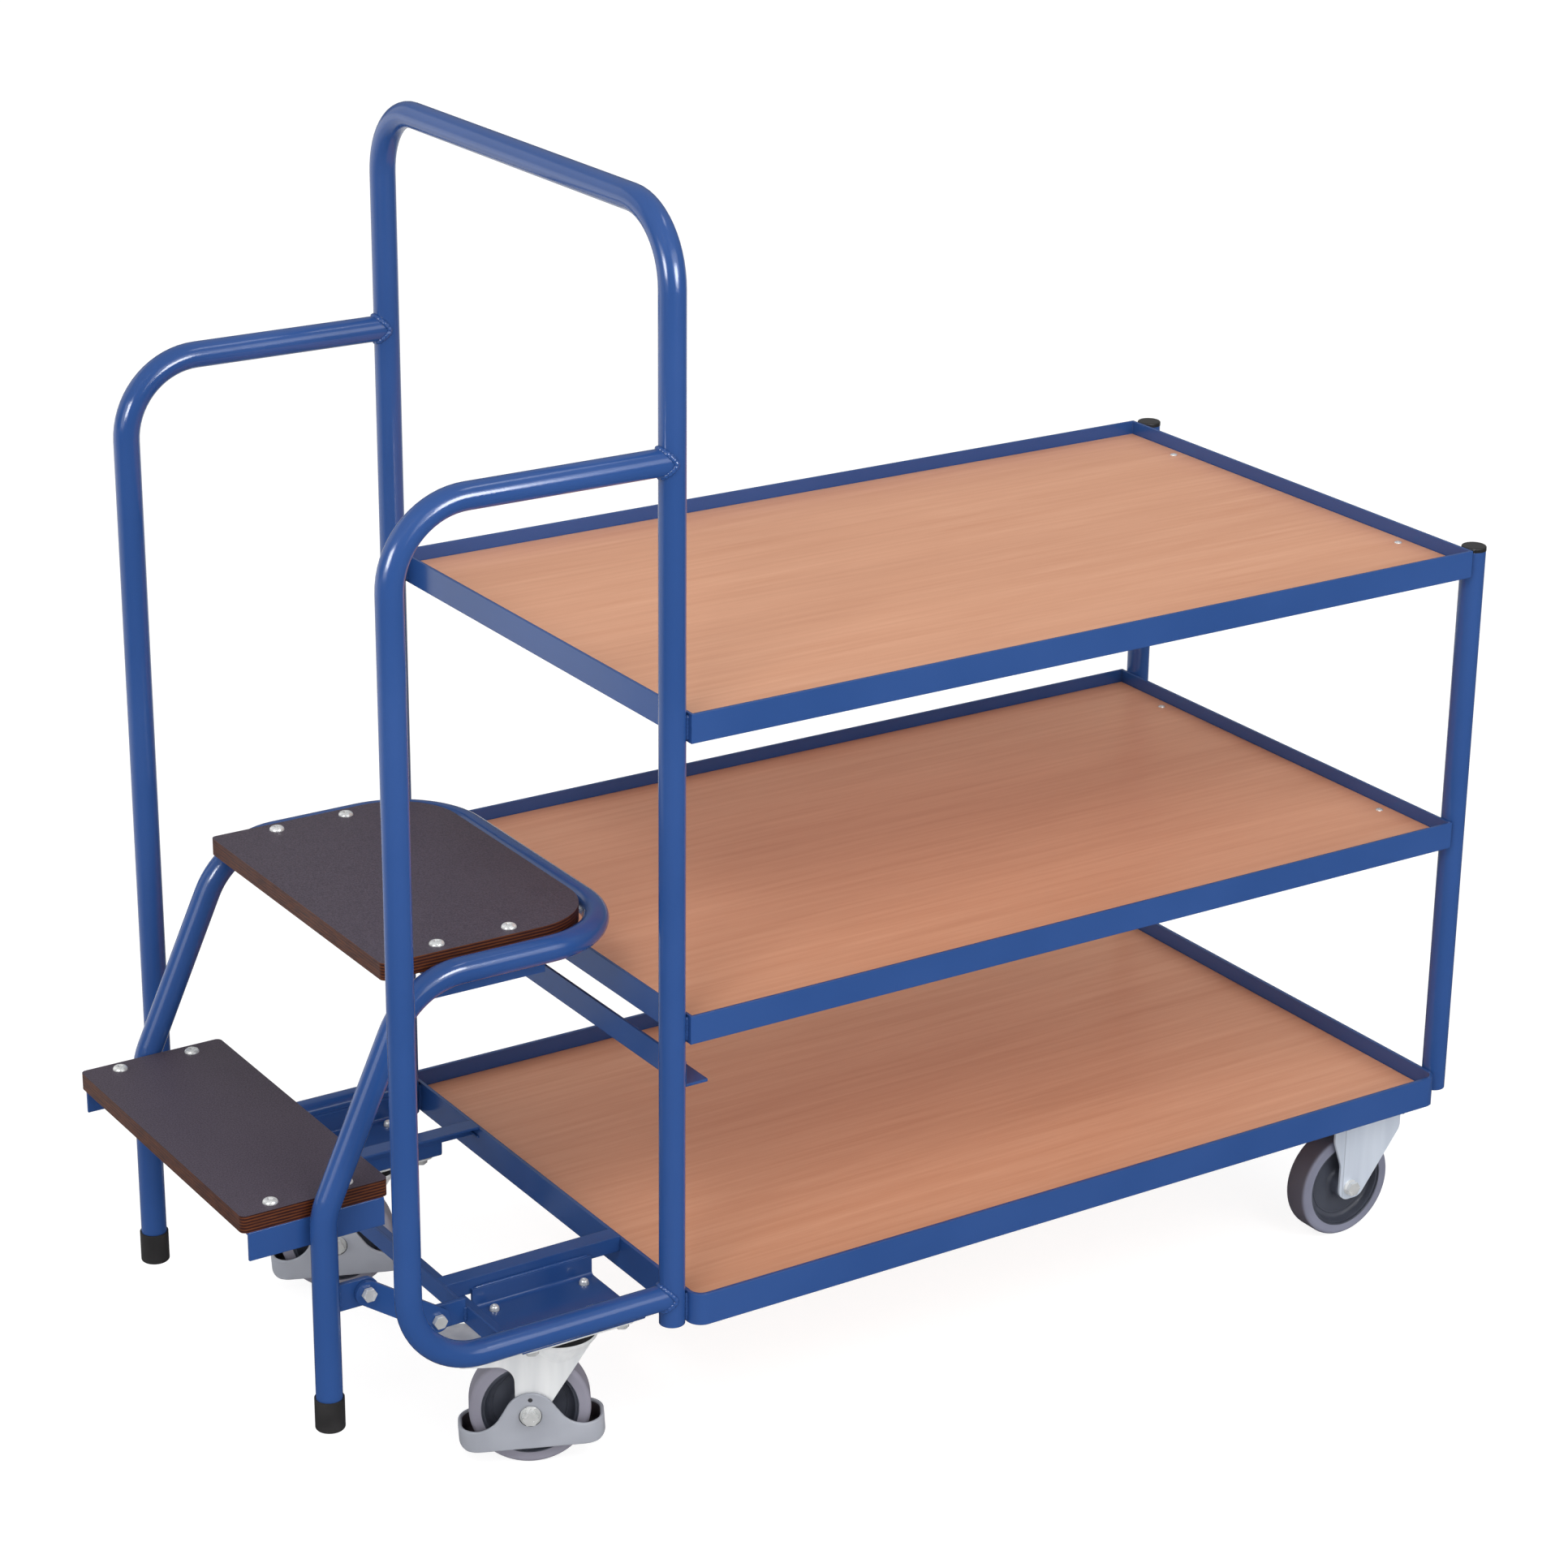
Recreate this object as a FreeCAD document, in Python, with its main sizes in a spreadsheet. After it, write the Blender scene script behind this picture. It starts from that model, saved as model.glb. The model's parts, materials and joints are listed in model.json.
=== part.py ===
import FreeCAD, Part
import math
import os

import Sketcher

# Order picking trolley: a welded tube frame with three boarded shelves, a tall push handle,
# a two-tread step unit that hangs on a pair of links and sinks to the floor when it is
# stepped on, two swivel casters with brake pedals and two fixed casters.
# Millimetres, +Z up, X along the trolley with the step end at -X, origin on the floor under
# the middle of the bounding box.  Left is +Y for someone on the step who faces the shelves.

SIZES = {
    # steel tube of the frame and of the step unit
    "tube_diameter": 26.9,
    "tube_wall": 2.0,
    # handle and posts
    "handle_height": 1301.0,
    "handle_bend": 72.0,
    "rear_post_foot_rise": 10.0,
    "rear_post_top_drop": 4.0,
    "post_cap_height": 5.0,
    "post_cap_round": 2.0,
    "post_cap_lip": 0.3,
    "post_cap_plug": 14.0,
    "plug_clearance": 0.05,
    # side rails that a climbing hand holds
    "rail_reach": 298.0,
    "rail_height": 1066.0,
    "rail_top_bend": 80.0,
    "rail_low_height": 190.0,
    "rail_low_bend": 80.0,
    # upper two shelves
    "shelf_length": 992.0,
    "shelf_width": 600.0,
    "top_shelf_height": 816.0,
    "middle_shelf_height": 500.0,
    "shelf_rim": 30.0,
    "shelf_flange": 30.0,
    "shelf_steel": 3.0,
    # base shelf
    "base_width": 620.0,
    "base_rim": 35.0,
    "base_flange": 35.0,
    "base_steel": 4.0,
    "base_corner": 16.0,
    # boards
    "board_thickness": 12.0,
    "board_clearance": 1.0,
    # cross bar behind the posts
    "stop_bar_top": 446.0,
    "stop_bar_leg": 28.0,
    "stop_bar_steel": 3.0,
    # angles and plates of the base in front of the shelf
    "runner_flange": 20.0,
    "runner_steel": 3.0,
    "cross_angle_reach": 194.5,
    "cross_angle_rise": 20.0,
    "cross_angle_depth": 25.0,
    "cross_angle_steel": 3.0,
    "cross_angle_top": 197.0,
    "caster_pan_length": 140.0,
    "caster_pan_steel": 4.0,
    "caster_pan_round": 6.0,
    "caster_pan_lip": 25.0,
    "rear_beam_length": 136.0,
    "rear_beam_inset": 8.0,
    # casters
    "caster_height": 155.0,
    "swivel_plate_length": 135.0,
    "swivel_plate_width": 96.0,
    "caster_plate_steel": 4.0,
    "caster_plate_corner": 12.0,
    "caster_hole": 11.0,
    "swivel_hole_length": 105.0,
    "swivel_hole_width": 76.0,
    "wheel_diameter": 125.0,
    "tyre_width": 32.0,
    "tyre_depth": 13.0,
    "tyre_crown": 5.0,
    "rim_lip": 3.0,
    "rim_web": 10.0,
    "rim_lip_width": 28.0,
    "hub_diameter": 34.0,
    "hub_gap": 0.5,
    "wheel_run_clearance": 0.05,
    "fork_inside": 40.0,
    "fork_steel": 3.0,
    "fork_round": 6.0,
    "axle_diameter": 10.0,
    "fork_end_radius": 15.0,
    "bolt_head_across": 15.0,
    "bolt_head_height": 6.4,
    "washer_diameter": 22.0,
    "washer_thickness": 2.0,
    # swivel casters
    "swivel_lift": 6.0,
    "swivel_reach": 93.0,
    "swivel_trail": 30.0,
    "swivel_degrees": 28.0,
    "race_diameter": 80.0,
    "race_wall_drop": 8.0,
    "race_gap": 0.4,
    "crown_drop": 16.0,
    "crown_dish_taper": 4.0,
    "crown_flare": 26.0,
    "crown_edge": 3.0,
    "kingpin_diameter": 14.0,
    "kingpin_clearance": 0.08,
    "kingpin_head": 22.0,
    "kingpin_head_height": 5.0,
    "fork_back_reach": 31.0,
    "fork_ear_reach": 74.0,
    "fork_ear_depth": 29.0,
    "fork_ear_round": 18.0,
    "fork_neck": 16.0,
    "fork_tab_length": 24.0,
    "fork_tab_width": 34.0,
    "fork_tab_depth": 18.0,
    # brake pedals
    "pedal_length": 150.0,
    "pedal_degrees": 3.5,
    "pedal_wall": 4.0,
    "pedal_gap": 0.8,
    "pedal_drop": 35.0,
    "pedal_band": 26.0,
    "pedal_peak": 26.0,
    "pedal_ridge": 15.0,
    "pedal_peak_round": 24.0,
    "pedal_shoulder": 39.5,
    "pedal_flank_round": 30.0,
    "pedal_low_round": 10.0,
    "pedal_end_round": 22.0,
    "pedal_bore_clearance": 0.06,
    # fixed casters
    "fixed_axle_back": 91.5,
    "fixed_axle_inset": 58.0,
    "fixed_fork_front": 26.0,
    "fixed_fork_back": 70.0,
    "fixed_fork_knee": 27.0,
    "fixed_plate_length": 105.0,
    "fixed_plate_width": 86.0,
    "fixed_hole_length": 80.0,
    "fixed_hole_width": 60.0,
    "fixed_washer_diameter": 18.0,
    # step unit
    "leg_reach": 347.0,
    "leg_spread": 414.0,
    "leg_knee_height": 339.0,
    "leg_hip_reach": 245.0,
    "loop_height": 562.5,
    "loop_rear_reach": 1.5,
    "loop_bend": 90.0,
    "hip_bend": 85.0,
    "knee_bend": 70.0,
    "foot_clearance": 105.0,
    "foot_cap_height": 34.0,
    "foot_cap_floor": 5.0,
    "foot_cap_wall": 1.6,
    "foot_cap_round": 2.0,
    "tread_thickness": 18.0,
    "tread_gap": 1.5,
    "tread_corner": 6.0,
    "upper_tread_front": 268.0,
    "upper_tread_rear_corner": 72.0,
    "upper_tread_rear_gap": 5.0,
    "lower_tread_depth": 158.0,
    "lower_tread_height": 351.6,
    "tread_angle_leg": 30.0,
    "tread_angle_steel": 3.0,
    "upper_angle_front": 225.0,
    "upper_angle_rear": 90.0,
    "lower_angle_length": 146.0,
    # links of the step unit
    "link_run": 77.0,
    "link_base_height": 193.0,
    "link_base_reach": 228.0,
    "link_width": 26.0,
    "link_steel": 5.0,
    "link_gap": 0.4,
    "link_bolt": 8.0,
    "link_bolt_clearance": 0.08,
    "link_bolt_head": 13.0,
    "link_bolt_head_height": 5.3,
    "lug_height": 29.0,
    # every cut runs this far past what it cuts
    "overrun": 4.0,
}

doc = FreeCAD.newDocument("trolley")
sheet = doc.addObject("Spreadsheet::Sheet", "Sizes")


class Measure:
    """A length or angle that knows its spreadsheet formula and its present value."""

    def __init__(self, formula, value):
        self.formula = formula
        self.value = value

    def joined(self, sign, other, value):
        text = other.formula if isinstance(other, Measure) else repr(other)
        return Measure("(%s %s %s)" % (self.formula, sign, text), value)

    def __add__(self, other):
        return self.joined("+", other, self.value + number(other))

    def __sub__(self, other):
        return self.joined("-", other, self.value - number(other))

    def __mul__(self, other):
        return self.joined("*", other, self.value * number(other))

    def __truediv__(self, other):
        return self.joined("/", other, self.value / number(other))

    def __neg__(self):
        return Measure("(-%s)" % self.formula, -self.value)


def number(item):
    return item.value if isinstance(item, Measure) else item


def formula(item):
    return item.formula if isinstance(item, Measure) else repr(item)


def cosine(angle):
    return Measure("cos(%s)" % angle.formula, math.cos(math.radians(angle.value)))


def sine(angle):
    return Measure("sin(%s)" % angle.formula, math.sin(math.radians(angle.value)))


def write_sheet():
    for row, (name, value) in enumerate(SIZES.items(), start=1):
        sheet.set("A%d" % row, name)
        sheet.set("B%d" % row, repr(value))
        sheet.setAlias("B%d" % row, name)
    doc.recompute()


def size(name):
    return Measure("Sizes." + name, SIZES[name])


write_sheet()
nodes = []


def new_body(name):
    body = doc.addObject("PartDesign::Body", name)
    body.Label = name
    nodes.append(body)
    return body


def place(item, x=0, y=0, z=0, turn=0, tip=0):
    """Bind an object's place, its turn about the vertical and its tip about its own Y."""
    spot = "vector(%s; %s; %s)" % (formula(x), formula(y), formula(z))
    spin = "rotation(vector(0; 0; 1); %s) * rotation(vector(0; 1; 0); %s)" % (formula(turn), formula(tip))
    item.setExpression("Placement", "placement(%s; %s)" % (spot, spin))


def new_sketch(body, plane, offset=0):
    """A sketch on one of the body's planes, moved along the plane's normal."""
    sketch = body.newObject("Sketcher::SketchObject", body.Name + "_sketch")
    base = [part for part in body.Origin.OriginFeatures if part.Role == plane + "_Plane"]
    sketch.AttachmentSupport = (base[0], [""])
    sketch.MapMode = "FlatFace"
    sketch.setExpression("AttachmentOffset.Base.z", formula(offset))
    return sketch


def bound(sketch, constraint, item):
    index = sketch.addConstraint(constraint)
    sketch.setExpression("Constraints[%d]" % index, formula(item))


def pin_point(sketch, element, position, x, y):
    bound(sketch, Sketcher.Constraint("DistanceX", -1, 1, element, position, number(x)), x)
    bound(sketch, Sketcher.Constraint("DistanceY", -1, 1, element, position, number(y)), y)


def add_circle(sketch, x, y, radius):
    centre = FreeCAD.Vector(number(x), number(y), 0)
    ring = Part.Circle(centre, FreeCAD.Vector(0, 0, 1), number(radius))
    element = sketch.addGeometry(ring, False)
    bound(sketch, Sketcher.Constraint("Radius", element, number(radius)), radius)
    pin_point(sketch, element, 3, x, y)


def corner_arc(before, corner, after, radius):
    """Start, middle, end and centre of the arc that rounds a corner."""
    into = (before - corner).normalize()
    out = (after - corner).normalize()
    half = into.getAngle(out) / 2
    middle_way = (into + out).normalize()
    centre = corner + middle_way * (radius / math.sin(half))
    tangent = radius / math.tan(half)
    return corner + into * tangent, centre - middle_way * radius, corner + out * tangent, centre


def add_outline(sketch, corners, closed=True):
    """Straight lines through the corners (x, y[, radius]), rounded where a radius is given."""
    count = len(corners)
    points = [FreeCAD.Vector(number(c[0]), number(c[1]), 0) for c in corners]
    marks = []
    arcs = []
    for index, corner in enumerate(corners):
        mark = sketch.addGeometry(Part.Point(points[index]), True)
        pin_point(sketch, mark, 1, corner[0], corner[1])
        marks.append(mark)
        if len(corner) == 3:
            following = points[(index + 1) % count]
            arcs.append(corner_arc(points[index - 1], points[index], following, number(corner[2])))
        else:
            arcs.append((points[index], None, points[index], None))
    lines = []
    for index in range(count if closed else count - 1):
        edge = Part.LineSegment(arcs[index][2], arcs[(index + 1) % count][0])
        lines.append(sketch.addGeometry(edge, False))
    for index, corner in enumerate(corners):
        before = lines[index - 1] if closed or index > 0 else None
        after = lines[index] if closed or index < count - 1 else None
        if len(corner) == 3:
            round_corner(sketch, arcs[index], before, after, marks[index], corner[2])
            continue
        if before is not None:
            sketch.addConstraint(Sketcher.Constraint("Coincident", before, 2, marks[index], 1))
        if after is not None:
            sketch.addConstraint(Sketcher.Constraint("Coincident", after, 1, marks[index], 1))


def round_corner(sketch, arc, before, after, mark, radius):
    start, middle, end, centre = arc
    element = sketch.addGeometry(Part.Arc(start, middle, end), False)
    leftward = (start - centre).cross(end - centre).z > 0
    first, last = (1, 2) if leftward else (2, 1)
    sketch.addConstraint(Sketcher.Constraint("Tangent", before, 2, element, first))
    sketch.addConstraint(Sketcher.Constraint("Tangent", element, last, after, 1))
    bound(sketch, Sketcher.Constraint("Radius", element, number(radius)), radius)
    sketch.addConstraint(Sketcher.Constraint("PointOnObject", mark, 1, before))
    sketch.addConstraint(Sketcher.Constraint("PointOnObject", mark, 1, after))


def rectangle(left, right, low, high, radius=None):
    spots = [(left, low), (right, low), (right, high), (left, high)]
    return spots if radius is None else [spot + (radius,) for spot in spots]


def add_feature(body, kind, sketch):
    doc.recompute()
    feature = body.newObject("PartDesign::" + kind, body.Name + "_" + kind)
    feature.Profile = sketch
    return feature


def pad(body, sketch, length, symmetric=False, reverse=False):
    feature = add_feature(body, "Pad", sketch)
    feature.setExpression("Length", formula(length))
    feature.SideType = "Symmetric" if symmetric else "One side"
    feature.Reversed = reverse
    return feature


def cut_through(body, sketch):
    """Cut the outline right through the body, to both sides of the sketch."""
    feature = add_feature(body, "Pocket", sketch)
    feature.Type = "ThroughAll"
    feature.SideType = "Symmetric"
    doc.recompute()
    return feature


def spin(body, sketch):
    """Revolve the outline about the sketch's upright axis."""
    feature = add_feature(body, "Revolution", sketch)
    feature.ReferenceAxis = (sketch, ["V_Axis"])
    return feature


def sweep_tube(body, route, ring):
    feature = add_feature(body, "AdditivePipe", ring)
    feature.Spine = (route, [])
    return feature


def add_ring(sketch, x, y):
    add_circle(sketch, x, y, tube_radius)
    add_circle(sketch, x, y, tube_radius - size("tube_wall"))


# Places that several pieces share, worked out from the sizes

tube_radius = size("tube_diameter") / 2
post_side = size("shelf_width") / 2 - tube_radius
step_reach = size("leg_reach") + size("lower_tread_depth") / 2
rear_post_back = size("shelf_length") + tube_radius * 2
post_x = (step_reach - rear_post_back - tube_radius - size("post_cap_lip")) / 2
rear_post_x = post_x + rear_post_back
shelf_front_x = post_x + tube_radius
shelf_middle_x = shelf_front_x + size("shelf_length") / 2
base_underside = size("caster_height") + size("caster_pan_steel")
wheel_radius = size("wheel_diameter") / 2
fork_outside = size("fork_inside") + size("fork_steel") * 2
leg_side = size("leg_spread") / 2
leg_x = post_x - size("leg_reach")
tread_underside = size("loop_height")
link_rise = size("foot_clearance") / 2
SIDES = (("left", 1), ("right", -1))


def make_handle_frame():
    body = new_body("handle_frame")
    route = new_sketch(body, "YZ")
    top = size("handle_height")
    bend = size("handle_bend")
    add_outline(route, [(-post_side, base_underside), (-post_side, top, bend),
                        (post_side, top, bend), (post_side, base_underside)], closed=False)
    ring = new_sketch(body, "XY", base_underside)
    add_ring(ring, 0, -post_side)
    sweep_tube(body, route, ring)
    place(body, post_x)


def make_side_rail(name, side):
    """A hand rail welded to the post at both ends, which are coped to the post."""
    body = new_body("side_rail_" + name)
    route = new_sketch(body, "XZ")
    reach = -size("rail_reach")
    top = size("rail_height")
    low = size("rail_low_height")
    add_outline(route, [(0, top), (reach, top, size("rail_top_bend")),
                        (reach, low, size("rail_low_bend")), (0, low)], closed=False)
    ring = new_sketch(body, "YZ")
    add_ring(ring, 0, top)
    sweep_tube(body, route, ring)
    post = new_sketch(body, "XY")
    add_circle(post, 0, 0, tube_radius)
    cut_through(body, post)
    place(body, post_x, post_side * side)


def make_rear_post(name, side):
    body = new_body("rear_post_" + name)
    foot = base_underside + size("rear_post_foot_rise")
    top = size("top_shelf_height") - size("rear_post_top_drop")
    ring = new_sketch(body, "XY")
    add_ring(ring, 0, 0)
    pad(body, ring, top - foot)
    place(body, rear_post_x, post_side * side, foot)


def make_post_cap(name, side):
    """A push-in plastic cap: a plug in the tube under a rounded button."""
    body = new_body("post_cap_" + name)
    plug = tube_radius - size("tube_wall") - size("plug_clearance")
    lip = tube_radius + size("post_cap_lip")
    top = size("post_cap_height")
    outline = new_sketch(body, "XZ")
    add_outline(outline, [(0, -size("post_cap_plug")), (plug, -size("post_cap_plug")), (plug, 0),
                          (lip, 0), (lip, top, size("post_cap_round")), (0, top)])
    spin(body, outline)
    place(body, rear_post_x, post_side * side, size("top_shelf_height") - size("rear_post_top_drop"))


def add_rim(body, length, width, thickness, height, corner):
    """An upright or flat ring round a rectangle, its long side along X."""
    sketch = new_sketch(body, "XY")
    inner = None if corner is None else corner - size("base_steel")
    add_outline(sketch, rectangle(-length / 2, length / 2, -width / 2, width / 2, corner))
    add_outline(sketch, rectangle(-length / 2 + thickness, length / 2 - thickness,
                                  -width / 2 + thickness, width / 2 - thickness, inner))
    pad(body, sketch, height)


def make_shelf_frame(name, width, rim, flange, steel, underside, corner=None):
    """Angle iron all round: an upright rim and a flange under the board."""
    body = new_body(name)
    add_rim(body, size("shelf_length"), width, steel, rim, corner)
    add_rim(body, size("shelf_length"), width, flange, steel, corner)
    place(body, shelf_middle_x, 0, underside)


def make_board(name, width, steel, underside, corner=None):
    """A laminated board on the flange, inside the rim."""
    body = new_body(name)
    inset = steel + size("board_clearance")
    half_length = size("shelf_length") / 2 - inset
    half_width = width / 2 - inset
    sketch = new_sketch(body, "XY")
    add_outline(sketch, rectangle(-half_length, half_length, -half_width, half_width, corner))
    pad(body, sketch, size("board_thickness"))
    place(body, shelf_middle_x, 0, underside + steel)


def make_shelves():
    steel = size("shelf_steel")
    for name in ("top", "middle"):
        underside = size(name + "_shelf_height") - size("shelf_rim")
        make_shelf_frame("shelf_frame_" + name, size("shelf_width"), size("shelf_rim"),
                         size("shelf_flange"), steel, underside)
        make_board("shelf_board_" + name, size("shelf_width"), steel, underside)
    steel = size("base_steel")
    make_shelf_frame("base_frame", size("base_width"), size("base_rim"), size("base_flange"),
                     steel, base_underside, size("base_corner"))
    make_board("base_board", size("base_width"), steel, base_underside,
               size("base_corner") - steel)


def angle_outline(flat, upright, steel, across, up):
    """Angle section with its heel at zero; across and up are 1 or -1, the ways its legs point."""
    return [(0, 0), (flat * across, 0), (flat * across, steel * up),
            (steel * across, steel * up), (steel * across, upright * up), (0, upright * up)]


def make_stop_bar():
    """Angle bar behind the posts that backs the step loop when the step unit is down."""
    body = new_body("stop_bar")
    section = new_sketch(body, "XZ")
    leg = size("stop_bar_leg")
    add_outline(section, angle_outline(leg, leg, size("stop_bar_steel"), 1, 1))
    pad(body, section, post_side * 2, symmetric=True)
    place(body, shelf_front_x, 0, size("stop_bar_top") - leg)


cross_angle_x = post_x - size("cross_angle_reach")
cross_angle_foot = size("cross_angle_top") - size("cross_angle_rise")


def make_cross_angle():
    """Angle across the front of the base, coped to the low runs of the side rails."""
    body = new_body("cross_angle")
    section = new_sketch(body, "XZ")
    depth = size("cross_angle_depth")
    add_outline(section, angle_outline(depth, size("cross_angle_rise"), size("cross_angle_steel"), 1, 1))
    pad(body, section, post_side * 2, symmetric=True)
    for side in (-1, 1):
        rail = new_sketch(body, "YZ")
        add_circle(rail, post_side * side, size("rail_low_height") - cross_angle_foot, tube_radius)
        cut_through(body, rail)
    place(body, cross_angle_x, 0, cross_angle_foot)


runner_side = post_side - tube_radius - size("swivel_plate_width") - size("caster_pan_steel") * 4


def make_runner(name, side):
    """Angle from the base shelf to the cross angle, its upright leg on the cross angle's flat leg."""
    body = new_body("base_runner_" + name)
    section = new_sketch(body, "YZ")
    upright = size("cross_angle_rise") - size("cross_angle_steel")
    add_outline(section, angle_outline(size("runner_flange"), upright, size("runner_steel"), -side, -1))
    front = cross_angle_x + size("cross_angle_steel")
    pad(body, section, shelf_front_x - front)
    place(body, front, runner_side * side, size("cross_angle_top"))


pan_outer = post_side - tube_radius
caster_side = (runner_side + pan_outer) / 2
swivel_height = size("caster_height") + size("swivel_lift")


def make_caster_pan(name, side):
    """Pressed channel that carries a swivel caster between the runner and the side rail."""
    body = new_body("caster_pan_" + name)
    steel = size("caster_pan_steel")
    half = (pan_outer - runner_side) / 2
    inner_rise = size("caster_pan_lip")
    outer_rise = size("rail_low_height") - swivel_height
    near, far = -half * side, half * side
    section = new_sketch(body, "YZ")
    bend = size("caster_pan_round")
    add_outline(section, [(near, 0, bend), (far, 0, bend), (far, outer_rise),
                          (far - steel * side, outer_rise), (far - steel * side, steel, bend - steel / 2),
                          (near + steel * side, steel, bend - steel / 2),
                          (near + steel * side, inner_rise), (near, inner_rise)])
    pad(body, section, size("caster_pan_length"), symmetric=True)
    holes = new_sketch(body, "XY")
    add_bolt_holes(holes, size("swivel_hole_length"), size("swivel_hole_width"))
    cut_through(body, holes)
    place(body, post_x - size("swivel_reach"), caster_side * side, swivel_height)


def add_bolt_holes(sketch, length, width, middle=0):
    """Four bolt holes at the corners of a rectangle; middle is the rectangle's own Y."""
    for along in (-1, 1):
        for across in (-1, 1):
            add_circle(sketch, length / 2 * along, width / 2 * across + middle, size("caster_hole") / 2)


fixed_side = size("base_width") / 2 - size("fixed_axle_inset")
fixed_plate_x = rear_post_x - tube_radius - size("fixed_axle_back") + (
    size("fixed_fork_back") - size("fixed_fork_front")) / 2


def make_rear_beam():
    """Plate under the base shelf that carries the two fixed casters."""
    body = new_body("rear_beam")
    half = size("rear_beam_length") / 2
    width = size("base_width") / 2 - size("rear_beam_inset")
    sketch = new_sketch(body, "XY")
    add_outline(sketch, rectangle(-half, half, -width, width))
    for side in (-1, 1):
        add_bolt_holes(sketch, size("fixed_hole_length"), size("fixed_hole_width"), fixed_side * side)
    pad(body, sketch, size("caster_pan_steel"))
    place(body, fixed_plate_x, 0, size("caster_height"))


def add_caster_plate(body, kind, top):
    """The bolted top plate of a swivel or fixed caster, its upper face at the given height."""
    half_length = size(kind + "_plate_length") / 2
    half_width = size(kind + "_plate_width") / 2
    sketch = new_sketch(body, "XY", top - size("caster_plate_steel"))
    add_outline(sketch, rectangle(-half_length, half_length, -half_width, half_width,
                                  size("caster_plate_corner")))
    add_bolt_holes(sketch, size(kind + "_hole_length"), size(kind + "_hole_width"))
    pad(body, sketch, size("caster_plate_steel"))


crown_top = swivel_height - size("caster_plate_steel") - size("race_wall_drop") - size("race_gap")
crown_bottom = swivel_height - size("crown_drop") - size("fork_steel")


def make_swivel_plate(name, side):
    """Top plate with the upper ball race and the kingpin riveted under the crown."""
    body = new_body("swivel_plate_" + name)
    add_caster_plate(body, "swivel", swivel_height)
    plate_underside = swivel_height - size("caster_plate_steel")
    pin = size("kingpin_diameter") / 2
    head = size("kingpin_head") / 2
    head_top = crown_bottom - size("race_gap")
    race = size("race_diameter") / 2
    outline = new_sketch(body, "XZ")
    add_outline(outline, [(0, head_top - size("kingpin_head_height")),
                          (head, head_top - size("kingpin_head_height")), (head, head_top),
                          (pin, head_top), (pin, plate_underside - size("race_wall_drop")),
                          (race - size("race_wall_drop"), plate_underside - size("race_wall_drop")),
                          (race, plate_underside), (0, plate_underside)])
    spin(body, outline)
    place(body, post_x - size("swivel_reach"), caster_side * side)


def place_swivel(body, side):
    place(body, post_x - size("swivel_reach"), caster_side * side, 0, -size("swivel_degrees"))


def place_on_swivel_axle(body, side, tip=0):
    """Put a piece that is drawn round the axle on a swivel caster's axle."""
    turn = -size("swivel_degrees")
    x = post_x - size("swivel_reach") - size("swivel_trail") * cosine(turn)
    y = caster_side * side - size("swivel_trail") * sine(turn)
    place(body, x, y, wheel_radius, turn, tip)


def round_shoulders(body, top):
    """Trim a fork's block to its outside width, with rounded upper edges."""
    outside = fork_outside / 2
    low = -size("overrun")
    reach = outside + size("overrun")
    soft = size("fork_round")
    sketch = new_sketch(body, "YZ")
    add_outline(sketch, rectangle(-reach, reach, low * 2, top - low))
    add_outline(sketch, [(-outside, low), (outside, low), (outside, top, soft), (-outside, top, soft)])
    cut_through(body, sketch)


def open_fork(body, top):
    """Open the inside of a fork from below."""
    inside = size("fork_inside") / 2
    low = -size("overrun")
    roof = top - size("fork_steel")
    soft = size("fork_round") - size("fork_steel")
    sketch = new_sketch(body, "YZ")
    add_outline(sketch, [(-inside, low), (inside, low), (inside, roof, soft), (-inside, roof, soft)])
    cut_through(body, sketch)


def add_fork_tab(body, ear, top):
    """Channel, open below, that carries the crown on past the ears."""
    half = size("fork_tab_width") / 2
    steel = size("fork_steel")
    low = top - size("fork_tab_depth")
    roof = top - steel
    sketch = new_sketch(body, "YZ", ear - size("fork_tab_length"))
    add_outline(sketch, [(-half, low), (steel - half, low), (steel - half, roof), (half - steel, roof),
                         (half - steel, low), (half, low), (half, top), (-half, top)])
    pad(body, sketch, size("fork_tab_length"))


def make_swivel_fork(name, side):
    """Pressed fork: two legs that trail to the axle, an ear over the wheel and a flared crown."""
    body = new_body("swivel_fork_" + name)
    axle = -size("swivel_trail")
    end = size("fork_end_radius")
    low = wheel_radius - end
    top = crown_bottom + size("fork_steel")
    ear = axle - size("fork_ear_reach")
    ear_low = top - size("fork_ear_depth")
    neck = axle - size("fork_neck")
    legs = new_sketch(body, "XZ")
    back = size("fork_back_reach")
    add_outline(legs, [(back, top), (back, top - size("fork_steel") * 2),
                       (axle + end, wheel_radius, end), (axle + end / 2, low, end / 2),
                       (axle - end / 2, low, end / 2), (axle - end, wheel_radius, end),
                       (neck, ear_low, size("fork_ear_round")), (ear, ear_low, size("fork_round")),
                       (ear, top)])
    pad(body, legs, fork_outside, symmetric=True)
    round_shoulders(body, top)
    dish = new_sketch(body, "XZ")
    race = size("race_diameter") / 2
    flare = top - size("crown_flare")
    add_outline(dish, [(0, flare), (fork_outside / 2, flare), (race, top - size("crown_edge")),
                       (race, top), (race - size("crown_dish_taper"), crown_top), (0, crown_top)])
    spin(body, dish)
    open_fork(body, top)
    add_fork_tab(body, ear, top)
    bore = new_sketch(body, "XY")
    add_circle(bore, 0, 0, size("kingpin_diameter") / 2 + size("kingpin_clearance"))
    cut_through(body, bore)
    hole = new_sketch(body, "XZ")
    add_circle(hole, axle, wheel_radius, size("axle_diameter") / 2)
    cut_through(body, hole)
    place_swivel(body, side)


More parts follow.
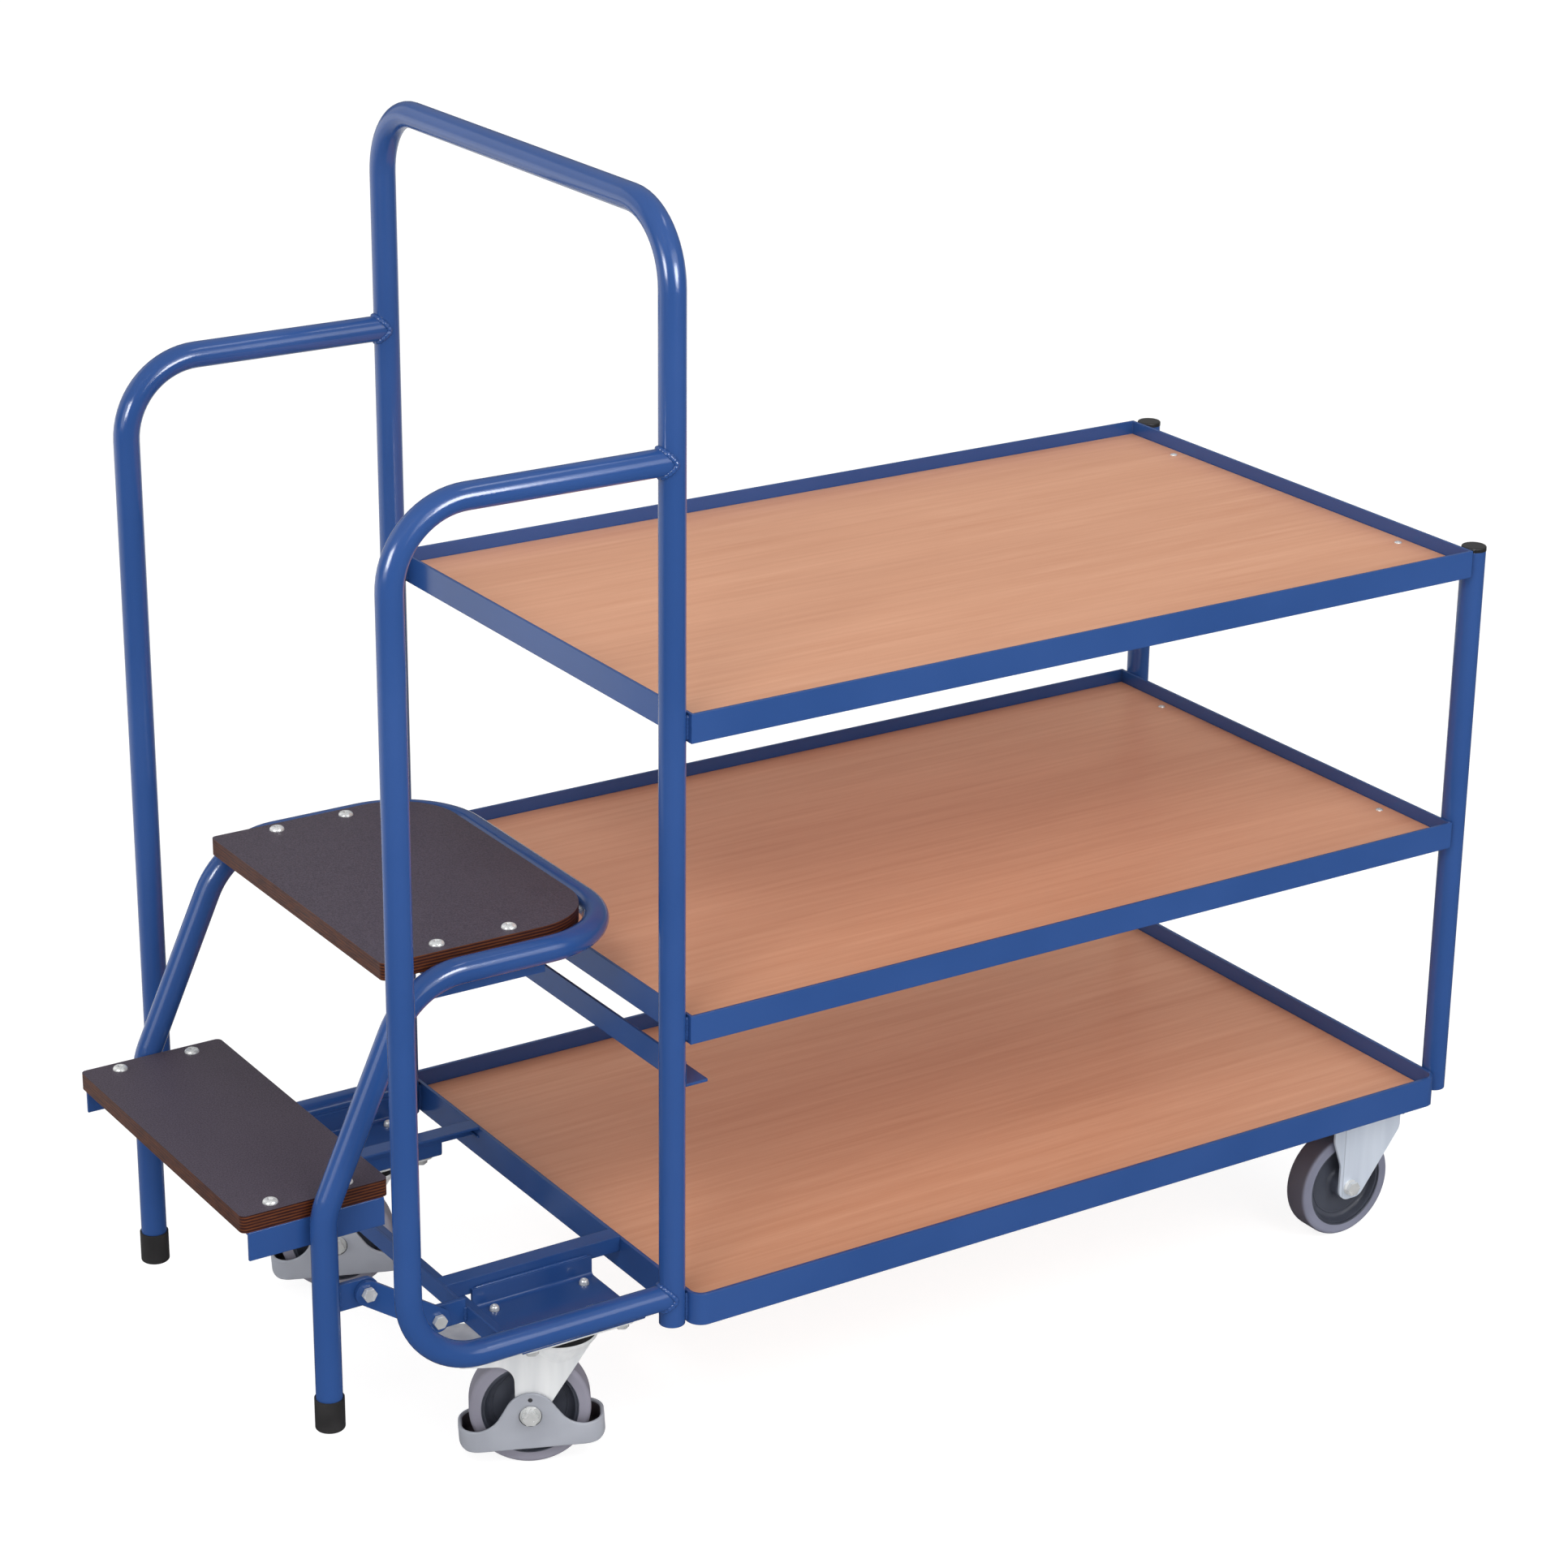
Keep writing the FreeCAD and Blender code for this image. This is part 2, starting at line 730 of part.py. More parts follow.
def make_fixed_fork(name, side):
    """Fixed fork under its plate: two flat legs, wide at the plate, narrow at the axle."""
    body = new_body("fixed_fork_" + name)
    axle = (size("fixed_fork_front") - size("fixed_fork_back")) / 2
    end = size("fork_end_radius")
    low = wheel_radius - end
    top = size("caster_height") - size("caster_plate_steel")
    soft = end - size("fork_steel") / 2
    legs = new_sketch(body, "XZ")
    front = axle - size("fixed_fork_front")
    back = axle + size("fixed_fork_back")
    add_outline(legs, [(front, top), (front, top - size("fixed_fork_knee"), end),
                       (axle - end, wheel_radius + end * 2, end), (axle - end, low, soft),
                       (axle + end, low, soft), (back, top - end * 2, end), (back, top)])
    pad(body, legs, fork_outside, symmetric=True)
    round_shoulders(body, top)
    open_fork(body, top)
    add_caster_plate(body, "fixed", size("caster_height"))
    hole = new_sketch(body, "XZ")
    add_circle(hole, axle, wheel_radius, size("axle_diameter") / 2)
    cut_through(body, hole)
    place(body, fixed_plate_x, fixed_side * side)


fixed_axle_x = fixed_plate_x + (size("fixed_fork_front") - size("fixed_fork_back")) / 2


def place_on_axle(body, kind, side):
    if kind == "swivel":
        place_on_swivel_axle(body, side)
    else:
        place(body, fixed_axle_x, fixed_side * side, wheel_radius)


def make_tyre(kind, name, side):
    """Soft tread with a crowned face."""
    body = new_body("%s_tyre_%s" % (kind, name))
    half = size("tyre_width") / 2
    seat = wheel_radius - size("tyre_depth")
    crown = size("tyre_crown")
    sketch = new_sketch(body, "XY")
    add_outline(sketch, [(seat, -half), (wheel_radius, -half, crown),
                         (wheel_radius, half, crown), (seat, half)])
    spin(body, sketch)
    place_on_axle(body, kind, side)


def make_rim(kind, name, side):
    """Plastic wheel centre: hub, web and outer band under the tyre."""
    body = new_body("%s_rim_%s" % (kind, name))
    bore = size("axle_diameter") / 2 + size("wheel_run_clearance")
    hub = size("hub_diameter") / 2
    hub_half = size("fork_inside") / 2 - size("hub_gap")
    web = size("rim_web") / 2
    seat = wheel_radius - size("tyre_depth")
    lip = seat - size("rim_lip") * 2
    lip_half = size("rim_lip_width") / 2
    sketch = new_sketch(body, "XY")
    add_outline(sketch, [(bore, -hub_half), (hub, -hub_half), (hub, -web, web), (lip, -web, web),
                         (seat - size("rim_lip"), -lip_half), (seat, -lip_half), (seat, lip_half),
                         (seat - size("rim_lip"), lip_half), (lip, web, web), (hub, web, web),
                         (hub, hub_half), (bore, hub_half)])
    spin(body, sketch)
    place_on_axle(body, kind, side)


def hexagon(across):
    """Corners of a hexagon from its width across flats, a flat on top."""
    flat = across / 2
    point = flat / math.sqrt(3) * 2
    return [(point, 0), (point / 2, flat), (-point / 2, flat), (-point, 0),
            (-point / 2, -flat), (point / 2, -flat)]


def make_axle(kind, name, side, stack, washer_size):
    """Axle bolt with a washer and a hexagon outside the stack of pieces on both sides."""
    body = new_body("%s_axle_%s" % (kind, name))
    washer_face = stack + size("washer_thickness")
    shaft = new_sketch(body, "XZ")
    add_circle(shaft, 0, 0, size("axle_diameter") / 2)
    pad(body, shaft, stack * 2, symmetric=True)
    for end in (-1, 1):
        washer = new_sketch(body, "XZ", stack * end)
        add_circle(washer, 0, 0, washer_size / 2)
        pad(body, washer, size("washer_thickness"), reverse=end < 0)
        head = new_sketch(body, "XZ", washer_face * end)
        add_outline(head, hexagon(size("bolt_head_across")))
        pad(body, head, size("bolt_head_height"), reverse=end < 0)
    place_on_axle(body, kind, side)


pedal_inside = fork_outside / 2 + size("pedal_gap")
pedal_outside = pedal_inside + size("pedal_wall")


def make_pedal(name, side):
    """Brake pedal: a band round the wheel, drawn from the side and then cut out from above."""
    body = new_body("brake_pedal_" + name)
    half = size("pedal_length") / 2
    low = -size("pedal_drop")
    band = low + size("pedal_band")
    peak = size("pedal_peak")
    ridge = size("pedal_ridge")
    shoulder = size("pedal_shoulder")
    flank = size("pedal_flank_round")
    crest = size("pedal_peak_round")
    profile = new_sketch(body, "XZ")
    add_outline(profile, [(-half, low, size("pedal_low_round")), (half, low, size("pedal_low_round")),
                          (half, band), (shoulder, band, flank), (ridge, peak, crest),
                          (-ridge, peak, crest), (-shoulder, band, flank), (-half, band)])
    pad(body, profile, pedal_outside * 2, symmetric=True)
    wall = size("pedal_wall")
    end = size("pedal_end_round")
    well = new_sketch(body, "XY")
    add_outline(well, rectangle(-half + wall, half - wall, -pedal_inside, pedal_inside, end - wall))
    cut_through(body, well)
    ends = new_sketch(body, "XY")
    spare = size("overrun")
    add_outline(ends, rectangle(-half - spare, half + spare, -pedal_outside - spare, pedal_outside + spare))
    add_outline(ends, rectangle(-half, half, -pedal_outside, pedal_outside, end))
    cut_through(body, ends)
    bore = new_sketch(body, "XZ")
    add_circle(bore, 0, 0, size("axle_diameter") / 2 + size("pedal_bore_clearance"))
    cut_through(body, bore)
    place_on_swivel_axle(body, side, -size("pedal_degrees"))


def make_casters(name, side):
    make_swivel_plate(name, side)
    make_swivel_fork(name, side)
    make_fixed_fork(name, side)
    make_pedal(name, side)
    for kind in ("swivel", "fixed"):
        make_tyre(kind, name, side)
        make_rim(kind, name, side)
    make_axle("swivel", name, side, pedal_outside + size("pedal_gap"), size("washer_diameter"))
    make_axle("fixed", name, side, fork_outside / 2, size("fixed_washer_diameter"))


def make_step_tube():
    """One bent tube: a loop round the upper tread and two legs that slope, then stand."""
    body = new_body("step_tube")
    loop_z = size("loop_height")
    rear = post_x - size("loop_rear_reach")
    hip = post_x - size("leg_hip_reach")
    start = hip + size("hip_bend")
    foot = size("foot_clearance") + size("foot_cap_floor")
    loop = new_sketch(body, "XY", loop_z)
    bend = size("loop_bend")
    add_outline(loop, [(start, -leg_side), (rear, -leg_side, bend), (rear, leg_side, bend),
                       (start, leg_side)], closed=False)
    ring = new_sketch(body, "YZ", start)
    add_ring(ring, -leg_side, loop_z)
    sweep_tube(body, loop, ring)
    for name, side in SIDES:
        leg = new_sketch(body, "XZ", -leg_side * side)
        add_outline(leg, [(start, loop_z), (hip, loop_z, size("hip_bend")),
                          (leg_x, size("leg_knee_height"), size("knee_bend")), (leg_x, foot)], closed=False)
        mouth = new_sketch(body, "YZ", start)
        add_ring(mouth, leg_side * side, loop_z)
        sweep_tube(body, leg, mouth)


def make_foot_cap(name, side):
    """Rubber foot: a cup pushed over the leg's end."""
    body = new_body("foot_cap_" + name)
    inside = tube_radius + size("plug_clearance")
    outside = inside + size("foot_cap_wall")
    sketch = new_sketch(body, "XZ")
    add_outline(sketch, [(0, 0), (outside, 0, size("foot_cap_round")), (outside, size("foot_cap_height")),
                         (inside, size("foot_cap_height")), (inside, size("foot_cap_floor")),
                         (0, size("foot_cap_floor"))])
    spin(body, sketch)
    place(body, leg_x, leg_side * side, size("foot_clearance"))


tread_half = leg_side - tube_radius - size("tread_gap")


def make_upper_tread():
    body = new_body("upper_tread")
    front = post_x - size("upper_tread_front")
    rear = post_x - size("loop_rear_reach") - tube_radius - size("upper_tread_rear_gap")
    soft = size("tread_corner")
    back = size("upper_tread_rear_corner")
    sketch = new_sketch(body, "XY")
    add_outline(sketch, [(front, -tread_half, soft), (rear, -tread_half, back),
                         (rear, tread_half, back), (front, tread_half, soft)])
    pad(body, sketch, size("tread_thickness"))
    place(body, 0, 0, tread_underside)


def make_lower_tread():
    body = new_body("lower_tread")
    half = size("lower_tread_depth") / 2
    sketch = new_sketch(body, "XY")
    add_outline(sketch, rectangle(-half, half, -tread_half, tread_half, size("tread_corner")))
    pad(body, sketch, size("tread_thickness"))
    place(body, leg_x, 0, size("lower_tread_height") - size("tread_thickness"))


def make_tread_angle(level, name, side, front, rear, top):
    """Angle under a tread's edge, its upright leg against the step tube."""
    body = new_body("%s_tread_angle_%s" % (level, name))
    section = new_sketch(body, "YZ", front)
    leg = size("tread_angle_leg")
    add_outline(section, angle_outline(leg, leg, size("tread_angle_steel"), -side, -1))
    pad(body, section, rear - front)
    place(body, 0, (leg_side - tube_radius) * side, top)


def make_tread_angles(name, side):
    make_tread_angle("upper", name, side, post_x - size("upper_angle_front"),
                     post_x - size("upper_angle_rear"), tread_underside)
    half = size("lower_angle_length") / 2
    make_tread_angle("lower", name, side, leg_x - half, leg_x + half,
                     size("lower_tread_height") - size("tread_thickness"))


base_pivot_x = post_x - size("link_base_reach")
base_pivot_z = size("link_base_height")
step_pivot_x = base_pivot_x - size("link_run")
step_pivot_z = base_pivot_z + link_rise
link_inner = leg_side + size("link_steel") / 2 + size("link_gap")
link_outer = link_inner + size("link_steel")


def add_slab(body, corners, bolt, clearance, near, far, side):
    """A flat plate on the XZ plane between two distances from the middle, bored for a bolt."""
    sketch = new_sketch(body, "XZ", -near * side)
    add_outline(sketch, corners)
    for x, z in bolt:
        add_circle(sketch, x, z, size("link_bolt") / 2 + clearance)
    pad(body, sketch, far - near, reverse=side > 0)


def make_step_lug(name, side):
    """Plate on the back of a leg that carries the upper link bolt."""
    body = new_body("step_lug_" + name)
    half = size("lug_height") / 2
    tip = step_pivot_x + half
    start = leg_x + tube_radius
    corners = [(start, step_pivot_z - half), (tip, step_pivot_z - half, half - size("link_gap")),
               (tip, step_pivot_z + half, half - size("link_gap")), (start, step_pivot_z + half)]
    add_slab(body, corners, [(step_pivot_x, step_pivot_z)], 0,
             leg_side - size("link_steel") / 2, leg_side + size("link_steel") / 2, side)


def make_link_bracket(name, side):
    """Plate on the cross angle that carries the lower link bolt."""
    body = new_body("link_bracket_" + name)
    half = size("link_width") / 2
    tip = base_pivot_x - half
    soft = half - size("link_gap")
    low, high = base_pivot_z - half, base_pivot_z + half
    corners = [(cross_angle_x, low), (cross_angle_x, high), (tip, high, soft), (tip, low, soft)]
    add_slab(body, corners, [(base_pivot_x, base_pivot_z)], 0,
             leg_side - size("link_steel") / 2, leg_side + size("link_steel") / 2, side)


def make_link_bar(name, side):
    """Flat bar with round ends between the two bolts, drawn level and turned up to the step."""
    body = new_body("link_bar_" + name)
    half = size("link_width") / 2
    reach = Measure("sqrt(%s ^ 2 + %s ^ 2)" % (size("link_run").formula, link_rise.formula),
                    math.hypot(size("link_run").value, link_rise.value))
    soft = half - size("link_gap")
    corners = rectangle(-half, reach + half, -half, half, soft)
    add_slab(body, corners, [(0, 0), (reach, 0)], size("link_bolt_clearance"), link_inner, link_outer, side)
    slope = "atan2(%s; %s)" % (link_rise.formula, (-size("link_run")).formula)
    spot = "vector(%s; 0; %s)" % (base_pivot_x.formula, base_pivot_z.formula)
    body.setExpression("Placement", "placement(%s; rotation(vector(0; -1; 0); %s))" % (spot, slope))


def make_link_bolts(name, x, z):
    """The pair of bolts of one pivot line, heads outside."""
    for side_name, side in SIDES:
        body = new_body("%s_bolt_%s" % (name, side_name))
        start = leg_side - size("link_steel") / 2
        end = link_outer + size("link_gap")
        shaft = new_sketch(body, "XZ", -start * side)
        add_circle(shaft, 0, 0, size("link_bolt") / 2)
        pad(body, shaft, end - start, reverse=side > 0)
        head = new_sketch(body, "XZ", -end * side)
        add_outline(head, hexagon(size("link_bolt_head")))
        pad(body, head, size("link_bolt_head_height"), reverse=side > 0)
        nut = new_sketch(body, "XZ", -start * side)
        add_outline(nut, hexagon(size("link_bolt_head")))
        pad(body, nut, size("link_bolt_head_height"), reverse=side < 0)
        place(body, x, 0, z)


def build():
    make_handle_frame()
    make_shelves()
    make_stop_bar()
    make_cross_angle()
    make_rear_beam()
    make_step_tube()
    make_upper_tread()
    make_lower_tread()
    for name, side in SIDES:
        make_side_rail(name, side)
        make_rear_post(name, side)
        make_post_cap(name, side)
        make_runner(name, side)
        make_caster_pan(name, side)
        make_casters(name, side)
        make_foot_cap(name, side)
        make_tread_angles(name, side)
        make_step_lug(name, side)
        make_link_bracket(name, side)
        make_link_bar(name, side)
    make_link_bolts("base_link", base_pivot_x, base_pivot_z)
    make_link_bolts("step_link", step_pivot_x, step_pivot_z)
    doc.recompute()


def check():
    faults = []
    for item in doc.Objects:
        if "Invalid" in item.State or "Error" in item.State:
            faults.append("%s is %s" % (item.Label, item.State))
    for node in nodes:
        if node.Shape.isNull() or not node.Shape.isValid():
            faults.append(node.Label + " has no valid shape")
    if faults:
        raise RuntimeError("; ".join(faults))


def write_parts():
    os.makedirs("parts", exist_ok=True)
    for node in nodes:
        node.Shape.exportStep("parts/%s.step" % node.Label)


build()
check()
write_parts()
print(len(nodes), "sub-parts written")
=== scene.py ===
import json
import math

import bpy
import numpy as np
from mathutils import Matrix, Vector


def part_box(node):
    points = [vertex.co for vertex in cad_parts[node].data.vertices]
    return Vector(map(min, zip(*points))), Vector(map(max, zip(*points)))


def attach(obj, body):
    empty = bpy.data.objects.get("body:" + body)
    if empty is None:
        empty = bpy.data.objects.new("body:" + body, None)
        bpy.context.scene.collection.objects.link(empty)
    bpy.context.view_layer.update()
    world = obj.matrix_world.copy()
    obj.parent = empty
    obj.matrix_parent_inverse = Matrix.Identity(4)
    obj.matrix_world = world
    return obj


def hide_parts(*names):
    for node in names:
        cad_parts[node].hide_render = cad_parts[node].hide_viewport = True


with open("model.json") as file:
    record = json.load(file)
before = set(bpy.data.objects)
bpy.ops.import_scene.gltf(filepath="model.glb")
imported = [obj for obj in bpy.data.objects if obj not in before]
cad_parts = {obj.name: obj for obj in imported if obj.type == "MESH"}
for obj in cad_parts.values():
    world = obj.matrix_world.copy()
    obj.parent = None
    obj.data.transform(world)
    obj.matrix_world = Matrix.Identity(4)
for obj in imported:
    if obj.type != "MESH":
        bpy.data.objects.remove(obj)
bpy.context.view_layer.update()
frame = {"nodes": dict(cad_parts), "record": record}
nodes = frame["nodes"]
joints = {joint["name"]: joint for joint in frame["record"]["behaviour"]["joints"]}


# Tube frame: the push handle with the front posts, the side rails and the rear posts.
# Bent steel tube, welded and then powder coated in a glossy blue, so the coat has a
# faint orange-peel skin and its gloss wanders a little from place to place.
def new_group(name, inputs, outputs):
    """An empty shader group; inputs and outputs are (socket name, kind) pairs."""
    group = bpy.data.node_groups.new(name, "ShaderNodeTree")
    for title, kind in inputs:
        group.interface.new_socket(title, in_out="INPUT", socket_type="NodeSocket" + kind)
    for title, kind in outputs:
        group.interface.new_socket(title, in_out="OUTPUT", socket_type="NodeSocket" + kind)
    return group, group.nodes.new("NodeGroupInput"), group.nodes.new("NodeGroupOutput")


def add_node(tree, kind, links=None, **settings):
    """A node of a shader tree: settings are its own fields, links feed its sockets."""
    node = tree.nodes.new("ShaderNode" + kind)
    for field, value in settings.items():
        setattr(node, field, value)
    for socket, value in (links or {}).items():
        if isinstance(value, bpy.types.NodeSocket):
            tree.links.new(value, node.inputs[socket])
        else:
            node.inputs[socket].default_value = value
    return node


def grained_skin():
    """Noise of one size for the bump, and a slow noise, stretched on request, for gloss and tone."""
    group, enter, leave = new_group(
        "grained_skin",
        [("Vector", "Vector"), ("Grain", "Float"), ("Patch", "Vector")],
        [("Height", "Float"), ("Drift", "Float")],
    )
    place, grain, patch = (enter.outputs[title] for title in ("Vector", "Grain", "Patch"))
    fine = add_node(group, "TexNoise", {"Vector": place, "Scale": grain, "Detail": 2.0, "Roughness": 0.45})
    drawn = add_node(group, "VectorMath", {0: place, 1: patch}, operation="MULTIPLY")
    slow = add_node(group, "TexNoise", {"Vector": drawn.outputs["Vector"], "Scale": 1.0, "Detail": 2.0,
                                        "Roughness": 0.5})
    group.links.new(fine.outputs["Fac"], leave.inputs["Height"])
    group.links.new(slow.outputs["Fac"], leave.inputs["Drift"])
    return group


skin = grained_skin()


def new_material(name):
    """A material with a Principled shader, and the node that gives places on the piece."""
    material = bpy.data.materials.new(name)
    material.use_nodes = True
    tree = material.node_tree
    tree.nodes.clear()
    shader = tree.nodes.new("ShaderNodeBsdfPrincipled")
    out = tree.nodes.new("ShaderNodeOutputMaterial")
    tree.links.new(shader.outputs["BSDF"], out.inputs["Surface"])
    place = tree.nodes.new("ShaderNodeTexCoord")
    return material, tree, shader, place


def srgb(red, green, blue):
    """A colour given as it looks on a screen, 0 to 255, turned into linear light."""
    share = np.array([red, green, blue]) / 255.0
    linear = np.where(share <= 0.04045, share / 12.92, ((share + 0.055) / 1.055) ** 2.4)
    return (*linear.tolist(), 1.0)


def blend_colours(tree, share, first, second, how="MIX"):
    """Colour between first and second; each is a socket or a plain colour."""
    mix = add_node(tree, "Mix", {0: share}, data_type="RGBA", blend_type=how)
    for socket, value in ((mix.inputs[6], first), (mix.inputs[7], second)):
        if isinstance(value, bpy.types.NodeSocket):
            tree.links.new(value, socket)
        else:
            socket.default_value = value
    return mix.outputs[2]


def cover_with_skin(tree, place, grain, patch):
    """The grained skin placed in a material: grain is the fine noise's scale, patch the slow one's."""
    return add_node(tree, "Group", {"Vector": place.outputs["Object"], "Grain": grain, "Patch": patch},
                    node_tree=skin)


def skinned(name, dark, light, rough, grain, patch, bump, metal=0.0, edge=0.0):
    """A material whose tone, gloss and bump all come from the grained skin.
    Tone runs from dark to light and roughness over rough; bump is a strength and a depth, and edge
    is the radius that corners seem to have."""
    material, tree, shader, place = new_material(name)
    cover = cover_with_skin(tree, place, grain, patch)
    spread = add_node(tree, "MapRange", {"Value": cover.outputs["Drift"], "From Min": 0.25,
                                         "From Max": 0.75}, interpolation_type="SMOOTHSTEP")
    drift = spread.outputs["Result"]
    gloss = add_node(tree, "MapRange", {"Value": drift, "To Min": rough[0], "To Max": rough[1]})
    strength, depth = bump
    height = add_node(tree, "Bump", {"Height": cover.outputs["Height"], "Strength": strength,
                                     "Distance": depth})
    tree.links.new(blend_colours(tree, drift, dark, light), shader.inputs["Base Color"])
    tree.links.new(gloss.outputs["Result"], shader.inputs["Roughness"])
    tree.links.new(height.outputs["Normal"], shader.inputs["Normal"])
    shader.inputs["Metallic"].default_value = metal
    if edge:
        soft = add_node(tree, "Bevel", {"Radius": edge}, samples=6)
        tree.links.new(soft.outputs["Normal"], height.inputs["Normal"])
    return material


def paint(material, *names):
    """Give the CAD nodes with these names the material."""
    for name in names:
        slots = nodes[name].data.materials
        slots.clear()
        slots.append(material)


SIDES = (("left", 1.0), ("right", -1.0))


def both(*names):
    """The left and right node names that begin with these names."""
    return [name + "_" + side for name in names for side, way in SIDES]


powder_blue = skinned("powder_blue", srgb(37, 70, 126), srgb(43, 76, 134), rough=(0.13, 0.2), grain=620.0,
                      patch=(5.0, 5.0, 5.0), bump=(0.1, 0.0004), edge=0.0012)
paint(powder_blue, "handle_frame", *both("side_rail", "rear_post"))


def join(shapes):
    """Several (points, faces) shapes as one; the faces of each are counted on from the last."""
    starts = np.cumsum([0] + [len(points) for points, faces in shapes])
    faces = [tuple(int(corner + start) for corner in face)
             for (points, group), start in zip(shapes, starts) for face in group]
    return np.concatenate([points for points, group in shapes]), faces


def add_piece(name, shapes, material, body, smooth=True):
    """A new visual piece made of closed shapes, which rides on a body and takes a slot's finish."""
    points, faces = join(shapes)
    mesh = bpy.data.meshes.new(name)
    mesh.from_pydata(points.tolist(), [], faces)
    mesh.polygons.foreach_set("use_smooth", [smooth] * len(faces))
    mesh.materials.append(material)
    piece = bpy.data.objects.new(name, mesh)
    bpy.context.scene.collection.objects.link(piece)
    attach(piece, body)
    return piece


def tube_faces(rings, sides, closed):
    """Four-cornered faces of a grid of rings; an open grid also gets a fan at either end."""
    ring, side = np.meshgrid(np.arange(rings if closed else rings - 1), np.arange(sides), indexing="ij")
    ahead, beside = (ring + 1) % rings, (side + 1) % sides
    quads = np.stack([ring * sides + side, ring * sides + beside, ahead * sides + beside,
                      ahead * sides + side], axis=-1).reshape(-1, 4)
    if closed:
        return [tuple(quad) for quad in quads]
    row = np.arange(sides)
    near = np.stack([np.full(sides, rings * sides), (row + 1) % sides, row], axis=-1)
    last = (rings - 1) * sides
    far = np.stack([np.full(sides, rings * sides + 1), last + row, last + (row + 1) % sides], axis=-1)
    return [tuple(face) for face in (*near, *far, *quads)]


def bead(path, radius, away, closed=False):
    """Weld bead: rings of a radius that ripples by a fifth and that stand square to a path.
    The point at angle a of a ring is the path's point plus radius times (cos a times a vector square
    to the path and to away, plus sin a times the path's direction crossed with that vector); an open
    bead tapers to its ends."""
    sides, ripple = 8, 0.0042
    step = np.roll(path, -1, axis=0) - np.roll(path, 1, axis=0)
    if not closed:
        step[0], step[-1] = path[1] - path[0], path[-1] - path[-2]
    ahead = step / np.linalg.norm(step, axis=1, keepdims=True)
    across = np.cross(ahead, away)
    across /= np.linalg.norm(across, axis=1, keepdims=True)
    upward = np.cross(ahead, across)
    run = np.cumsum(np.linalg.norm(np.diff(path, axis=0, prepend=path[:1]), axis=1))
    width = radius * (0.8 + 0.2 * np.abs(np.sin(run * math.pi / ripple)))
    if not closed:
        width = width * np.sqrt(np.clip(1.0 - np.linspace(-1.0, 1.0, len(path)) ** 8, 0.06, 1.0))
    turn = np.linspace(0.0, 2.0 * math.pi, sides, endpoint=False)
    rings = (path[:, None] + width[:, None, None] * (np.cos(turn)[:, None] * across[:, None]
                                                     + np.sin(turn)[:, None] * upward[:, None]))
    points = rings.reshape(-1, 3)
    if not closed:
        points = np.concatenate([points, path[:1], path[-1:]])
    return points, tube_faces(len(path), sides, closed)


def line(start, end, count=40):
    """Evenly spaced points of a straight path."""
    return np.linspace(np.array(start), np.array(end), count)


post_low, post_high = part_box("handle_frame")
tube = (post_high[0] - post_low[0]) / 2.0
post_x = (post_high[0] + post_low[0]) / 2.0
post_y = post_high[1] - tube


def rail_bead(way, height):
    """Saddle where a rail meets a post of the same tube: round the rail at angle a, the joint
    lies the tube's radius times |cos a|, rounded off at its least, in front of the post's axis."""
    steps, rounding, radius = 160, 0.06, 0.003
    turn = np.linspace(0.0, 2.0 * math.pi, steps, endpoint=False)
    front = post_x - tube * np.sqrt(np.cos(turn) ** 2 + rounding)
    path = np.stack([front, way * post_y + tube * np.sin(turn), height + tube * np.cos(turn)], axis=1)
    return bead(path, radius, (1.0, 0.0, 0.0), closed=True)


rail_low, rail_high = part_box("side_rail_left")
add_piece("rail_welds", [rail_bead(way, height) for side, way in SIDES
                         for height in (rail_low[2] + tube, rail_high[2] - tube)],
          powder_blue, "frame")

# Post caps: black plastic plugs pushed into the open tops of the rear posts.
# Moulded, with a thin lip on the tube's end and a rounded top edge.
cap_black = skinned("cap_black", srgb(26, 26, 28), srgb(36, 35, 37), rough=(0.28, 0.4), grain=900.0,
                    patch=(30.0, 30.0, 30.0), bump=(0.08, 0.0003))
paint(cap_black, *both("post_cap"))

# Shelves: three angle frames in the same blue with a beech laminate board in each.
# The frames are welded to the posts along short upright beads, and the boards lie on the
# frames' flanges, held by small screws near the far end.
paint(powder_blue, "shelf_frame_top", "shelf_frame_middle", "base_frame")


